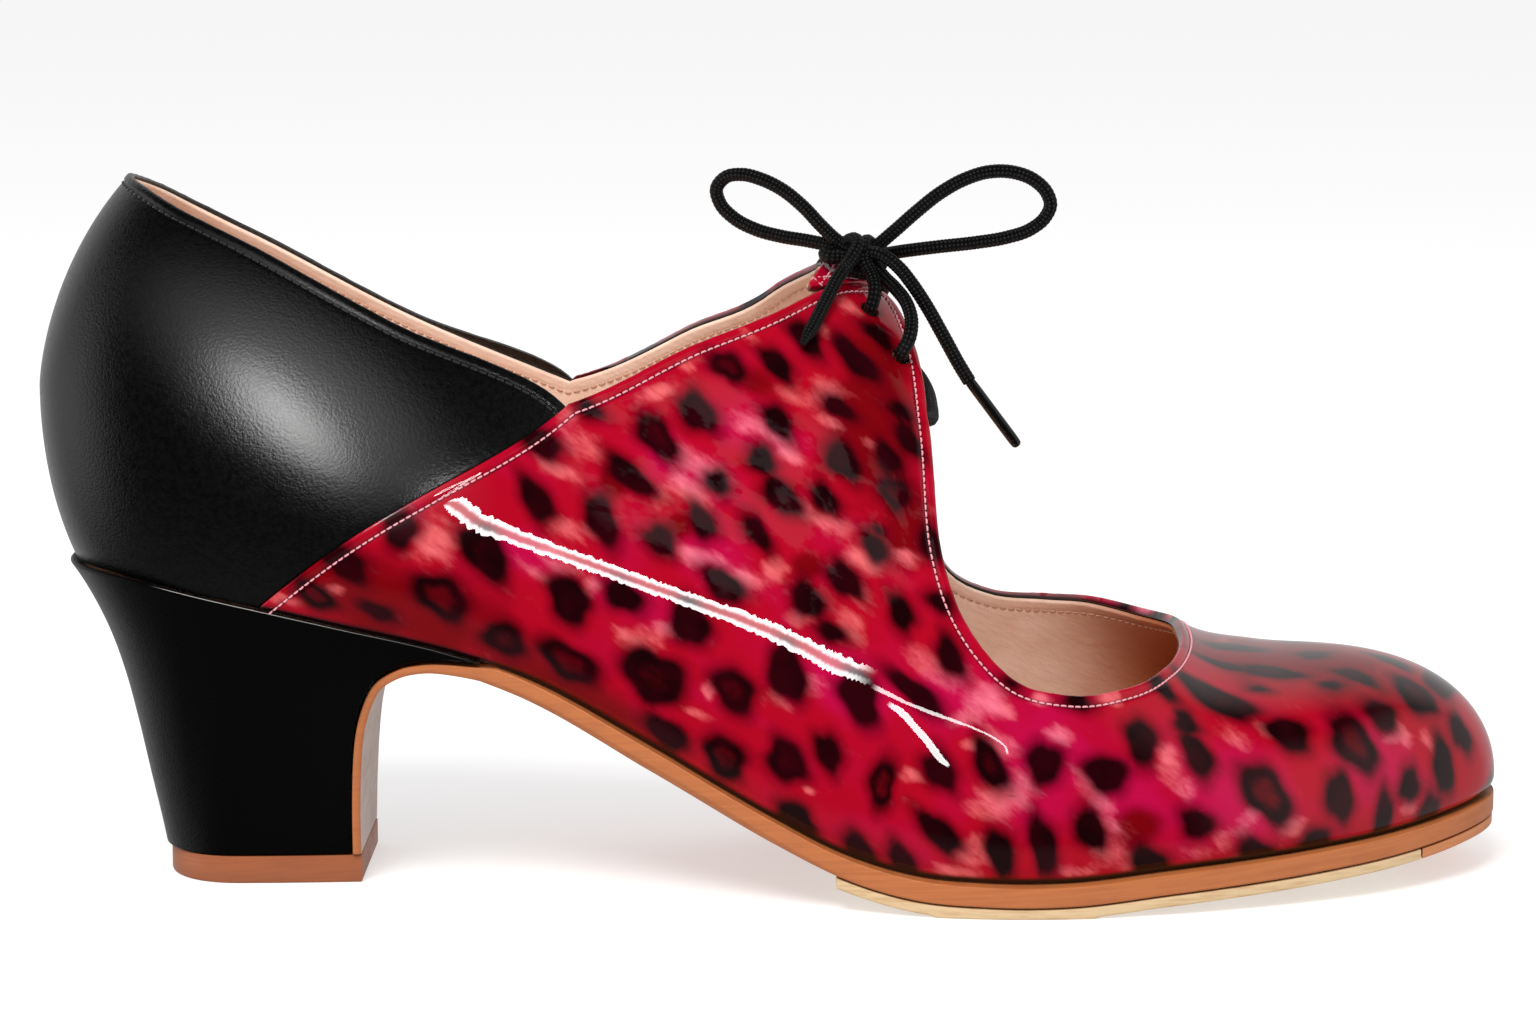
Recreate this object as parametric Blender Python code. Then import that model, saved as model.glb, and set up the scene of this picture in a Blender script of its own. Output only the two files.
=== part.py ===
"""A right flamenco shoe: hollow upper, insole, soles, covered heel and a laced bow.

Sizes are millimetres on the last's own axes: +X to the toe, -Y the outer side, +Z up, the floor at 0.
Each mesh is moved so that the middle of the shoe's box is the origin, and scaled to metres.
"""

import math

import bmesh
import bpy
import numpy as np
from mathutils import Matrix, Vector

MM = 0.001
GAP = 0.3
BOX_MIDDLE = (1.02, -1.25)
SHARP_ANGLE = 40.0
SIDE_SIGN = {"lateral": -1.0, "medial": 1.0}
OTHER_SIDE = {"lateral": "medial", "medial": "lateral"}

# Last: the ends, where its round ends begin, and the powers of its round outlines
HEEL_BACK, HEEL_CENTRE = -120.4, -93.0
TOE_CENTRE, TOE_TIP = 92.0, 121.9
HEEL_ROUND = {"plan": 2.2, "up": 1.65, "down": 2.05}
TOE_ROUND = {"plan": 2.45, "up": 2.1, "down": 2.1}
LOWER_POWER = 2.2
OUTSIDE = 9.0
PROBE = 0.02

# A row for each section of the last. Sides are y at the widest height, tucks are shares lost at the feather.
LAST_COLUMNS = ("x", "lateral", "medial", "ridge", "wide_z", "ridge_z", "crown", "tuck_lateral", "tuck_medial")
LAST_ROWS = (
    (-93.0, -28.0, 28.0, 0.0, 74.5, 123.0, 1.62, 0.16, 0.16),
    (-60.0, -28.0, 27.0, 0.0, 66.0, 121.0, 1.65, 0.14, 0.18),
    (-34.0, -27.5, 25.0, 0.0, 56.5, 117.5, 1.70, 0.12, 0.24),
    (-8.0, -33.0, 29.0, 0.5, 43.0, 107.4, 1.75, 0.10, 0.20),
    (14.0, -39.0, 34.5, 1.5, 30.5, 98.8, 1.75, 0.08, 0.12),
    (24.5, -41.3, 36.8, 2.0, 25.0, 91.2, 1.78, 0.07, 0.08),
    (32.0, -42.3, 38.0, 2.5, 22.0, 82.5, 1.80, 0.06, 0.06),
    (50.0, -42.0, 39.5, 3.5, 18.5, 60.0, 1.95, 0.05, 0.05),
    (60.0, -40.3, 39.0, 3.8, 17.5, 48.5, 2.05, 0.05, 0.05),
    (70.0, -37.8, 37.6, 4.0, 17.0, 40.6, 2.10, 0.05, 0.05),
    (82.0, -33.4, 35.5, 4.3, 16.7, 37.4, 2.15, 0.05, 0.05),
    (92.0, -28.8, 32.6, 4.5, 16.5, 36.6, 2.15, 0.05, 0.05),
    (122.0, -13.0, 23.5, 5.0, 15.0, 35.5, 2.15, 0.05, 0.05),
)

# Feather line, where the upper meets the sole
FEATHER_ROWS = (
    (-121.0, 53.4),
    (-105.0, 52.3),
    (-90.0, 48.9),
    (-70.0, 44.4),
    (-52.0, 40.2),
    (-40.0, 36.2),
    (-20.0, 25.9),
    (0.0, 15.0),
    (12.0, 9.4),
    (24.0, 6.3),
    (34.0, 5.6),
    (48.0, 5.6),
    (64.0, 7.0),
    (90.0, 8.9),
    (110.0, 10.9),
    (122.4, 12.6),
)

# Upper: walls, the vamp's rise over the quarter, and the net of ribs that it is built on. Stations past
# the centres of the heel and the toe turn round them, and a fan is the station length of that quarter turn.
WALL = 1.6
VAMP_RISE = 0.6
LEVELS = 11
QUARTER_RIBS, VAMP_RIBS = 13, 46
HEEL_FAN, TOE_FAN = 35.0, 70.0
FAN_BACK, FAN_TIP = HEEL_CENTRE - HEEL_FAN, TOE_CENTRE + TOE_FAN
RISE_WEIGHT = 0.7
LOOK_REACH = 170.0
FOOT_LOOK, COLLAR_LOOK = (-75.0, 40.0), (-20.0, 89.0)

# Top edge, a row for each rib named: its foot on the feather, its top station, then the top's height,
# or near the ridge its offset from the ridge, which is negative past the ridge
QUARTER_EDGE = {
    "lateral": (
        ("collar back", FAN_BACK, FAN_BACK, 116.1, None),
        ("collar heel", -112.0, -108.0, 114.2, None),
        ("collar side", -98.0, -88.0, 107.9, None),
        ("collar middle", -90.0, -60.0, 93.4, None),
        ("notch", -83.2, -32.6, 80.2, None),
    ),
    "medial": (
        ("collar back", FAN_BACK, FAN_BACK, 116.1, None),
        ("collar heel", -112.0, -108.0, 113.6, None),
        ("collar side", -98.0, -88.0, 106.0, None),
        ("collar middle", -90.0, -60.0, 90.8, None),
        ("notch", -83.2, -33.4, 79.6, None),
    ),
}
VAMP_EDGE = {
    "lateral": (
        ("seam", -82.6, -32.0, 80.5, None),
        ("wing rise", -58.0, -14.0, 88.7, None),
        ("wing top", -38.0, 3.0, 95.0, None),
        ("wing tip", -24.0, 13.5, 97.6, None),
        ("tip corner", -14.0, 19.4, 95.3, None),
        ("front high", -6.0, 23.6, 88.4, None),
        ("front middle", 3.0, 25.9, 75.0, None),
        ("front low", 13.0, 27.6, 57.5, None),
        ("throat back", 23.0, 31.0, 47.6, None),
        ("throat low", 35.0, 39.0, 38.1, None),
        ("throat deep", 48.0, 48.0, 34.9, None),
        ("throat fore", 66.0, 57.5, 35.6, None),
        ("throat turn", 92.0, 65.0, 38.2, None),
        ("throat front", FAN_TIP, 69.2, None, 0.0),
    ),
    "medial": (
        ("seam", -82.6, -32.8, 79.9, None),
        ("wing rise", -58.0, -14.0, 88.5, None),
        ("wing top", -38.0, 1.0, 96.0, None),
        ("wing crest", -29.0, 8.6, None, 2.0),
        ("wing tip", -24.0, 8.0, None, -6.0),
        ("tip corner", -21.0, 7.4, None, -9.4),
        ("tip lap", -18.0, 10.6, None, -7.0),
        ("tip front", -13.0, 15.2, None, -3.0),
        ("front high", -6.0, 20.2, None, 6.5),
        ("front middle", 3.0, 25.2, 79.0, None),
        ("front low", 13.0, 27.6, 58.0, None),
        ("throat back", 23.0, 31.0, 45.6, None),
        ("throat low", 35.0, 39.0, 40.9, None),
        ("throat deep", 48.0, 48.0, 40.0, None),
        ("throat fore", 66.0, 57.5, 39.6, None),
        ("throat turn", 92.0, 65.0, 39.4, None),
        ("throat front", FAN_TIP, 69.2, None, 0.0),
    ),
}

# Eyelet holes: side, x, height or offset from the ridge
EYELET_RADIUS, EYELET_SIDES, EYELET_CUT = 1.9, 14, 9.0
EYELETS = (
    ("lateral", 16.4, 93.9, None),
    ("lateral", 21.6, 86.9, None),
    ("medial", 10.5, None, 4.0),
    ("medial", 17.5, None, 11.0),
)

# Soles: margin past the feather, ends, vertical thickness by x, and the flat spot under the ball
SOLE_MARGIN, SOLE_TIP = 3.0, 122.4
OUTSOLE_TURN = -44.0
WAIST_FRONT, WAIST_TURN_IN = -20.0, 0.06
OUTSOLE_THICK = ((-44.0, 3.2), (-20.0, 3.8), (0.0, 3.8), (14.0, 3.5), (34.0, 3.3), (122.4, 3.3))
OUTSOLE_CHAMFER = ((-44.0, 0.9), (-10.0, 1.4), (8.0, 0.8), (14.0, 0.15), (122.4, 0.15))
HALF_SOLE_BACK, HALF_SOLE_FRONT = 11.0, 107.0
UNDER_THICK, UNDER_INSET, UNDER_CHAMFER = 1.7, 0.2, 0.15
BALL_FLAT = (27.0, 52.0)
TOE_PLATE_BACK = HALF_SOLE_FRONT + GAP
INSOLE_THICK, INSOLE_INSET, INSOLE_CHAMFER = 1.8, 1.0, 0.3
INSOLE_BACK, INSOLE_TIP = -111.8, 118.2
CHAMFER_MOST = 0.3
TOE_STEPS, HEEL_STEPS, LAST_TURN = 11, 9, 0.9992
OUTSOLE_STEPS, INSOLE_STEPS = 34, 26
HALF_SOLE_STEPS = {"back": 7, "flat": 7, "front": 12}

# Heel: the front (breast) and back lines from the top down, the seat's rim and the lift
BREAST_ROWS = (
    (-46.5, 37.75),
    (-52.8, 38.3),
    (-56.4, 38.2),
    (-60.0, 37.4),
    (-63.7, 35.2),
    (-65.8, 32.0),
    (-67.5, 26.7),
    (-68.3, 20.3),
    (-68.7, 12.0),
    (-68.8, 4.8),
)
HEEL_BACK_ROWS = (
    (-116.2, 52.7),
    (-114.2, 49.6),
    (-112.3, 46.1),
    (-109.8, 40.5),
    (-107.3, 32.9),
    (-105.3, 24.7),
    (-103.3, 15.5),
    (-101.8, 9.0),
    (-100.9, 4.8),
)
HEEL_SIDE_STEPS, HEEL_LEVELS = 16, 13
BACK_EASE, WIDTH_EASE = 0.6, 1.15
SEAT_RIM, SEAT_TURN, SEAT_ROUND, SEAT_ARC_WEIGHT = 0.9, HEEL_CENTRE - 2.0, 2.2, 1.4
FLAP_THICK, FLAP_MARGIN, FLAP_BEVEL, FLAP_BEVEL_START = 1.4, 0.4, 0.4, 0.65
FLAP_SWELL, FLAP_SWELL_ROWS = 0.9, 0.9
FLAP_END_HALF, FLAP_EASE = 15.8, 0.75
LIFT_HALF_WIDTH, LIFT_RIM, LIFT_BACK_INSET, LIFT_TOP = 16.0, 0.3, 0.9, 4.5
LIFT_FRONT, LIFT_FRONT_SHARE, LIFT_STEPS, LIFT_RIM_POWER = -67.0, 0.93, 12, 4
LIFT_SPLIT, LIFT_TURN_BACK, LIFT_ROUND = 0.42, 3.0, 2.1

# Lace
LACE = 2.1
STRAND_SIDES, STRAND_STEP = 8, 1.2 * LACE
KNOT = {"place": (15.5, -3.4, 104.5), "size": (4.0, 3.5, 3.1), "waist": 0.16, "waist_width": 0.35}
KNOT_SIDES, KNOT_RINGS, KNOT_END = 16, 10, 0.06
CROSSINGS = (
    (
        (16.2, -11.2, 94.0),
        (17.0, -9.6, 97.6),
        (16.8, -6.6, 99.2),
        (16.0, -3.0, 100.0),
        (14.4, 1.6, 100.8),
        (12.8, 4.6, 101.5),
        (9.4, 6.0, 101.4),
    ),
    (
        (21.2, -14.6, 88.4),
        (23.9, -15.2, 91.2),
        (23.8, -13.2, 94.0),
        (21.6, -8.6, 98.0),
        (18.6, -4.6, 99.8),
        (17.0, 1.6, 100.1),
        (17.8, 7.4, 98.2),
        (18.5, 11.8, 95.6),
        (17.4, 14.6, 90.9),
    ),
)
LOOP_BACK = (
    (11.2, -3.0, 105.7),
    (7.9, -1.4, 109.6),
    (5.3, 0.2, 112.4),
    (1.5, 2.0, 114.8),
    (-2.7, 3.4, 115.8),
    (-6.5, 4.6, 115.6),
    (-8.8, 5.6, 113.7),
    (-9.0, 5.8, 111.2),
    (-7.1, 5.0, 108.8),
    (-3.8, 3.6, 107.0),
    (0.3, 1.8, 105.8),
    (5.3, 0.0, 105.0),
    (10.6, -2.6, 103.2),
)
LOOP_FRONT = (
    (19.5, -3.4, 105.8),
    (21.7, -4.0, 107.8),
    (24.6, -4.4, 110.9),
    (27.9, -4.8, 113.8),
    (31.8, -5.2, 115.9),
    (35.9, -5.6, 116.9),
    (40.3, -5.8, 116.8),
    (44.2, -5.8, 115.0),
    (46.2, -5.6, 112.0),
    (45.3, -5.2, 108.9),
    (42.4, -4.8, 106.7),
    (38.1, -4.4, 105.5),
    (32.4, -4.0, 104.8),
    (26.6, -3.8, 104.1),
    (20.2, -3.6, 103.3),
)
END_NEAR = (
    (14.4, -8.2, 103.2),
    (12.8, -9.3, 101.0),
    (11.3, -10.6, 98.6),
    (9.9, -13.2, 96.2),
    (8.5, -16.4, 93.6),
    (7.0, -19.4, 91.4),
    (5.4, -22.0, 89.0),
)
END_FRONT = (
    (17.7, -7.8, 102.8),
    (20.0, -8.8, 102.1),
    (22.4, -9.8, 100.4),
    (25.1, -11.2, 96.6),
    (28.0, -12.0, 91.9),
    (31.0, -12.4, 87.2),
    (33.3, -12.5, 83.3),
)
AGLET_RADIUS, AGLET_STEP = 0.85, 6.0
AGLET_FRONT = ((33.5, -12.5, 83.0), (40.9, -12.5, 72.3))


def smooth(xs, values, flat_start=False, flat_end=False):
    """A smooth curve through the rows, straight past its ends."""
    xs, values = np.asarray(xs, float), np.asarray(values, float)
    steps = np.diff(values) / np.diff(xs)
    slopes = np.empty(len(xs))
    slopes[0] = 0.0 if flat_start else steps[0]
    slopes[-1] = 0.0 if flat_end else steps[-1]
    before, after = np.diff(xs)[:-1], np.diff(xs)[1:]
    slopes[1:-1] = (steps[:-1] * after + steps[1:] * before) / (before + after)

    def value(x):
        x = np.asarray(x, float)
        held = np.clip(x, xs[0], xs[-1])
        k = np.clip(np.searchsorted(xs, held, "right") - 1, 0, len(xs) - 2)
        width = xs[k + 1] - xs[k]
        t = (held - xs[k]) / width
        curve = (
            values[k] * (1 + 2 * t) * (1 - t) ** 2
            + values[k + 1] * t * t * (3 - 2 * t)
            + width * (slopes[k] * t * (1 - t) ** 2 - slopes[k + 1] * t * t * (1 - t))
        )
        return curve + (x - held) * np.where(x < held, slopes[0], slopes[-1])

    return value


def by_rows(rows):
    xs, values = zip(*rows)
    return smooth(xs, values)


LAST_TABLE = np.array(LAST_ROWS)
LAST_CURVES = {name: smooth(LAST_TABLE[:, 0], LAST_TABLE[:, k]) for k, name in enumerate(LAST_COLUMNS)}
feather = by_rows(FEATHER_ROWS)


def round_end(share, power):
    share = np.clip(share, 0.0, 1.0)
    return (1 - share**power) ** (1 / power)


def heel_share(x):
    return (HEEL_CENTRE - x) / (HEEL_CENTRE - HEEL_BACK)


def toe_share(x):
    return (x - TOE_CENTRE) / (TOE_TIP - TOE_CENTRE)


def last_at(x):
    """The section of the last at x: ridge, half widths, widest height, rise to the ridge, and tucks."""
    row = {name: curve(x) for name, curve in LAST_CURVES.items()}
    shrink = {
        way: round_end(heel_share(x), HEEL_ROUND[way]) * round_end(toe_share(x), TOE_ROUND[way])
        for way in HEEL_ROUND
    }
    row["half_lateral"] = (row["ridge"] - row["lateral"]) * shrink["plan"]
    row["half_medial"] = (row["medial"] - row["ridge"]) * shrink["plan"]
    row["rise"] = (row["ridge_z"] - row["wide_z"]) * shrink["up"]
    row["shrink_down"] = shrink["down"]
    return row


def depth_value(points):
    """Under 1 inside the last, over 1 outside it."""
    x, y, z = points[..., 0], points[..., 1], points[..., 2]
    row = last_at(x)
    lateral = y < row["ridge"]
    half = np.where(lateral, row["half_lateral"], row["half_medial"])
    tuck = np.where(lateral, row["tuck_lateral"], row["tuck_medial"])
    reach = (1 - (1 - tuck) ** LOWER_POWER) ** (1 / LOWER_POWER)
    fall = (row["wide_z"] - feather(x)) / reach * row["shrink_down"]
    height = z - row["wide_z"]
    tall = np.where(height > 0, row["rise"], fall)
    power = np.where(height > 0, row["crown"], LOWER_POWER)
    tiny = 1e-6
    value = (np.abs(y - row["ridge"]) / (half + tiny)) ** power + (np.abs(height) / (tall + tiny)) ** power
    return np.where((x <= HEEL_BACK) | (x >= TOE_TIP), OUTSIDE, value)


def halve(low, high, is_low, steps=44):
    """The value between low and high where is_low stops being true."""
    low, high = np.array(low, float), np.array(high, float)
    for _ in range(steps):
        middle = (low + high) / 2
        below = is_low(middle)
        low, high = np.where(below, middle, low), np.where(below, high, middle)
    return (low + high) / 2


def look(azimuth, elevation, side):
    """The way to look from inside the last. Azimuth 90 is to the side, 0 to the toe."""
    turn, climb = np.radians(azimuth), np.radians(elevation)
    flat = np.cos(climb)
    return np.stack([flat * np.cos(turn), SIDE_SIGN[side] * flat * np.sin(turn), np.sin(climb)], -1)


def cast(base, way):
    """The last's surface as seen along a way from its inside at x = base."""
    base = np.asarray(base, float)
    row = last_at(base)
    origin = np.stack([base, row["ridge"], row["wide_z"]], -1)
    reach = halve(
        np.zeros(base.shape),
        np.full(base.shape, LOOK_REACH),
        lambda t: depth_value(origin + t[..., None] * way) < 1,
    )
    return origin + reach[..., None] * way


def spot(station):
    """Base and azimuth of a station: fans round the heel and the toe, straight between them."""
    station = np.asarray(station, float)
    azimuth = (
        90
        + 90 * np.clip((HEEL_CENTRE - station) / HEEL_FAN, 0, 1)
        - 90 * np.clip((station - TOE_CENTRE) / TOE_FAN, 0, 1)
    )
    return np.clip(station, HEEL_CENTRE, TOE_CENTRE), azimuth


def foot_elevation(station, side):
    base, azimuth = spot(station)

    def below(elevation):
        point = cast(base, look(azimuth, elevation, side))
        return point[..., 2] < feather(point[..., 0])

    low, high = FOOT_LOOK
    return halve(np.full(base.shape, low), np.full(base.shape, high), below)


def elevation_at(station, height, offset, side):
    """The direction of a point of the top edge, given by its height or by its offset from the ridge."""
    if station < HEEL_CENTRE:
        base, azimuth = spot(station)
        return float(halve(*COLLAR_LOOK, lambda el: cast(base, look(azimuth, el, side))[..., 2] < height))
    row = last_at(station)
    if offset is None:
        up = height - row["wide_z"]
        share = 1 - (up / row["rise"]) ** row["crown"]
        offset = row["half_" + side] * share ** (1 / row["crown"])
    else:
        half = row["half_" + (side if offset >= 0 else OTHER_SIDE[side])]
        up = row["rise"] * (1 - (abs(offset) / half) ** row["crown"]) ** (1 / row["crown"])
    return math.degrees(math.atan2(up, offset))


def edge_ribs(rows, side, count, at_heel=False, at_toe=False):
    """Foot stations, top stations and top elevations of the ribs along one stretch of the top edge."""
    feet = np.array([row[1] for row in rows])
    tops = np.array([row[2] for row in rows])
    rises = np.array([elevation_at(row[2], row[3], row[4], side) for row in rows])
    steps = np.sqrt(np.diff(tops) ** 2 + (RISE_WEIGHT * np.diff(rises)) ** 2 + np.diff(feet) ** 2)
    along = np.concatenate([[0.0], np.cumsum(steps)])
    t = np.linspace(0, along[-1], count)
    return (
        smooth(along, feet)(t),
        smooth(along, tops, flat_end=at_toe)(t),
        smooth(along, rises, flat_start=at_heel)(t),
    )


def swung(low, high, share):
    """Ways between two ways, at even angles."""
    angle = np.arccos(np.clip((low * high).sum(-1, keepdims=True), -1, 1))
    return (np.sin((1 - share) * angle) * low + np.sin(share * angle) * high) / np.sin(angle)


def side_net(side):
    """Points of the last on one side's ribs, heel to toe, and how far each rib rises over the last."""
    quarter = edge_ribs(QUARTER_EDGE[side], side, QUARTER_RIBS, at_heel=True)
    vamp = edge_ribs(VAMP_EDGE[side], side, VAMP_RIBS, at_toe=True)
    feet, tops, rises = (np.concatenate(pair) for pair in zip(quarter, vamp))
    foot_base, foot_turn = spot(feet)
    top_base, top_turn = spot(tops)
    low = look(foot_turn, foot_elevation(feet, side), side)[:, None]
    high = look(top_turn, rises, side)[:, None]
    share = np.linspace(0, 1, LEVELS + 1)
    base = foot_base[:, None] + (top_base - foot_base)[:, None] * share
    net = cast(base, swung(low, high, share[:, None]))
    raised = np.concatenate([np.zeros(QUARTER_RIBS), np.full(VAMP_RIBS, VAMP_RISE)])
    return net, raised


def upper_net():
    """The whole ring of ribs: up the outer side to the toe, back along the inner side."""
    lateral, lateral_rise = side_net("lateral")
    medial, medial_rise = side_net("medial")
    net = np.concatenate([lateral, medial[1:-1][::-1]])
    raised = np.concatenate([lateral_rise, medial_rise[1:-1][::-1]])
    return net, raised


def outward(points):
    """The way straight out of the last at points of its surface."""
    slope = [depth_value(points + PROBE * axis) - depth_value(points - PROBE * axis) for axis in np.eye(3)]
    slope = np.stack(slope, -1)
    return slope / np.linalg.norm(slope, axis=-1, keepdims=True)


def to_frame(points):
    shifted = np.asarray(points, float) - np.array([BOX_MIDDLE[0], BOX_MIDDLE[1], 0.0])
    return shifted * MM


def add_object(name, points, faces, material):
    mesh = bpy.data.meshes.new(name)
    mesh.from_pydata(to_frame(points).tolist(), [], faces)
    mesh.validate()
    shape = bmesh.new()
    shape.from_mesh(mesh)
    bmesh.ops.recalc_face_normals(shape, faces=shape.faces)
    shape.to_mesh(mesh)
    shape.free()
    mesh.shade_smooth()
    mesh.set_sharp_from_angle(angle=math.radians(SHARP_ANGLE))
    obj = bpy.data.objects.new(name, mesh)
    bpy.context.scene.collection.objects.link(obj)
    mesh.materials.append(material)
    return obj


def make_material(name, colour, roughness, coat=0.0):
    material = bpy.data.materials.new(name)
    material.use_nodes = True
    shader = material.node_tree.nodes["Principled BSDF"]
    shader.inputs["Base Color"].default_value = (*colour, 1.0)
    shader.inputs["Roughness"].default_value = roughness
    shader.inputs["Coat Weight"].default_value = coat
    return material


def lofted(rings, closed_ends=True):
    """Faces of a tube through rings of equal length, as points and faces."""
    rings = np.asarray(rings, float)
    count, around = rings.shape[:2]
    faces = []
    for i in range(count - 1):
        for k in range(around):
            n = (k + 1) % around
            a, b = i * around, (i + 1) * around
            faces.append((a + k, a + n, b + n, b + k))
    if closed_ends:
        faces.append(tuple(range(around)))
        faces.append(tuple((count - 1) * around + k for k in range(around)))
    return rings.reshape(-1, 3), faces


def make_upper(material):
    net, raised = upper_net()
    normals = outward(net)
    outer = net + normals * raised[:, None, None]
    inner = net - normals * WALL
    for shell in (outer, inner):
        shell[:, 0, 2] = feather(shell[:, 0, 0])
    ribs, levels = net.shape[:2]

    def index(shell, rib, level):
        return (shell * ribs + rib % ribs) * levels + level

    faces = []
    for rib in range(ribs):
        for level in range(levels - 1):
            quad = ((rib, level), (rib + 1, level), (rib + 1, level + 1), (rib, level + 1))
            faces.append(tuple(index(0, *corner) for corner in quad))
            faces.append(tuple(index(1, *corner) for corner in reversed(quad)))
        for level in (0, levels - 1):
            faces.append(
                (
                    index(0, rib, level),
                    index(0, rib + 1, level),
                    index(1, rib + 1, level),
                    index(1, rib, level),
                )
            )
    upper = add_object("upper", np.concatenate([outer.reshape(-1, 3), inner.reshape(-1, 3)]), faces, material)
    for number, eyelet in enumerate(EYELETS):
        cut_eyelet(upper, number, *eyelet)


def eyelet_place(side, x, height, offset):
    """Middle of an eyelet on the last, and the way out of it."""
    elevation = elevation_at(x, height, offset, side)
    point = cast(x, look(90.0, elevation, side))
    return point, outward(point)


def cut_eyelet(upper, number, side, x, height, offset):
    point, way = eyelet_place(side, x, height, offset)
    shape = bmesh.new()
    sizes = {"radius1": EYELET_RADIUS, "radius2": EYELET_RADIUS, "depth": EYELET_CUT}
    bmesh.ops.create_cone(shape, cap_ends=True, segments=EYELET_SIDES, **sizes)
    turn = Vector((0, 0, 1)).rotation_difference(Vector(way)).to_matrix().to_4x4()
    place = Matrix.Translation(to_frame(point)) @ turn @ Matrix.Diagonal((MM, MM, MM, 1))
    bmesh.ops.transform(shape, matrix=place, verts=shape.verts)
    mesh = bpy.data.meshes.new(f"eyelet_cutter_{number}")
    shape.to_mesh(mesh)
    shape.free()
    cutter = bpy.data.objects.new(mesh.name, mesh)
    bpy.context.scene.collection.objects.link(cutter)
    cutter.hide_render = True
    cutter.display_type = "WIRE"
    cut = upper.modifiers.new(f"eyelet {number}", "BOOLEAN")
    cut.operation = "DIFFERENCE"
    cut.object = cutter


def feather_sides(x, margin, back, tip):
    """Y of both sides of an outline that stands off the feather line by a margin, with its own round ends."""
    row = {name: curve(x) for name, curve in LAST_CURVES.items()}
    shrink = round_end((HEEL_CENTRE - x) / (HEEL_CENTRE - back), HEEL_ROUND["plan"])
    shrink = shrink * round_end((x - TOE_CENTRE) / (tip - TOE_CENTRE), TOE_ROUND["plan"])
    lateral = (row["ridge"] - row["lateral"]) * (1 - row["tuck_lateral"]) + margin
    medial = (row["medial"] - row["ridge"]) * (1 - row["tuck_medial"]) + margin
    return row["ridge"] - lateral * shrink, row["ridge"] + medial * shrink


def toe_stations(tip):
    """Stations round the toe, up to just short of the tip."""
    turns = np.linspace(0, math.pi / 2, TOE_STEPS)[1:]
    return TOE_CENTRE + (tip - TOE_CENTRE) * np.minimum(np.sin(turns), LAST_TURN)


def heel_stations(back):
    """Stations round the heel, from just short of its back."""
    turns = np.linspace(0, math.pi / 2, HEEL_STEPS)
    return HEEL_CENTRE - (HEEL_CENTRE - back) * np.minimum(np.cos(turns), LAST_TURN)


def slab_rings(xs, sides, top, bottom, chamfer):
    """Six-cornered sections of a flat piece whose lower edges are cut back."""
    rings = []
    for x, lateral, medial, high, low, cut in zip(xs, *sides, top, bottom, chamfer):
        cut_in = min(cut, CHAMFER_MOST * (medial - lateral))
        rings.append(
            (
                (x, lateral, high),
                (x, medial, high),
                (x, medial, low + cut),
                (x, medial - cut_in, low),
                (x, lateral + cut_in, low),
                (x, lateral, low + cut),
            )
        )
    return rings


def straight_rows(x, rows):
    xs, values = zip(*rows)
    return np.interp(x, xs, values)


def under_line(x):
    """Underside of the outsole."""
    return feather(x) - GAP - straight_rows(x, OUTSOLE_THICK)


def offset_line(rows, distance):
    """A line in the XZ plane moved to its forward and lower side."""
    rows = np.asarray(rows, float)
    along = np.gradient(rows, axis=0)
    along /= np.linalg.norm(along, axis=1, keepdims=True)
    return rows + np.stack([-along[:, 1], along[:, 0]], 1) * np.asarray(distance).reshape(-1, 1)


def flap_half_widths():
    """Half width of the outsole's turned-down flap, row by row down the front of the heel."""
    rows = np.array(BREAST_ROWS)
    share = (rows[0, 1] - np.minimum(rows[:, 1], rows[0, 1])) / (rows[0, 1] - rows[-1, 1])
    lateral, medial = feather_sides(rows[:, 0], FLAP_MARGIN, INSOLE_BACK, SOLE_TIP)
    ease = share**FLAP_EASE
    return lateral * (1 - ease) - FLAP_END_HALF * ease, medial * (1 - ease) + FLAP_END_HALF * ease


def make_outsole(material):
    xs = np.concatenate([np.linspace(OUTSOLE_TURN, TOE_CENTRE, OUTSOLE_STEPS), toe_stations(SOLE_TIP)])
    sides = feather_sides(xs, SOLE_MARGIN, HEEL_BACK, SOLE_TIP)
    turn = np.clip((xs - WAIST_FRONT) / (OUTSOLE_TURN - WAIST_FRONT), 0, 1)
    sides = tuple(side * (1 - WAIST_TURN_IN * turn**2) for side in sides)
    rings = slab_rings(xs, sides, feather(xs) - GAP, under_line(xs), straight_rows(xs, OUTSOLE_CHAMFER))
    points, faces = lofted(flap_rings()[::-1] + rings)
    add_object("outsole", points, faces, material)


def flap_rings():
    """Sections of the outsole's flap down the front of the heel, from the top down."""
    inner = offset_line(BREAST_ROWS, GAP)
    swell = FLAP_SWELL * np.exp(-np.arange(len(inner)) / FLAP_SWELL_ROWS)
    face = offset_line(BREAST_ROWS, GAP + FLAP_THICK + swell)
    bevel = inner + FLAP_BEVEL_START * (face - inner)
    rings = []
    for (x, z), (bevel_x, bevel_z), (face_x, face_z), left, right in zip(inner, bevel, face, *flap_half_widths()):
        rings.append(
            (
                (x, left, z),
                (x, right, z),
                (bevel_x, right, bevel_z),
                (face_x, right - FLAP_BEVEL, face_z),
                (face_x, left + FLAP_BEVEL, face_z),
                (bevel_x, left, bevel_z),
            )
        )
    return rings


def floor_line(x):
    """Underside of the half sole and toe plate: flat under the ball, then up with the toe."""
    low = under_line(x) - GAP - UNDER_THICK
    start, end = BALL_FLAT
    return np.where((x >= start) & (x <= end), 0.0, np.maximum(low, 0.0))


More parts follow.
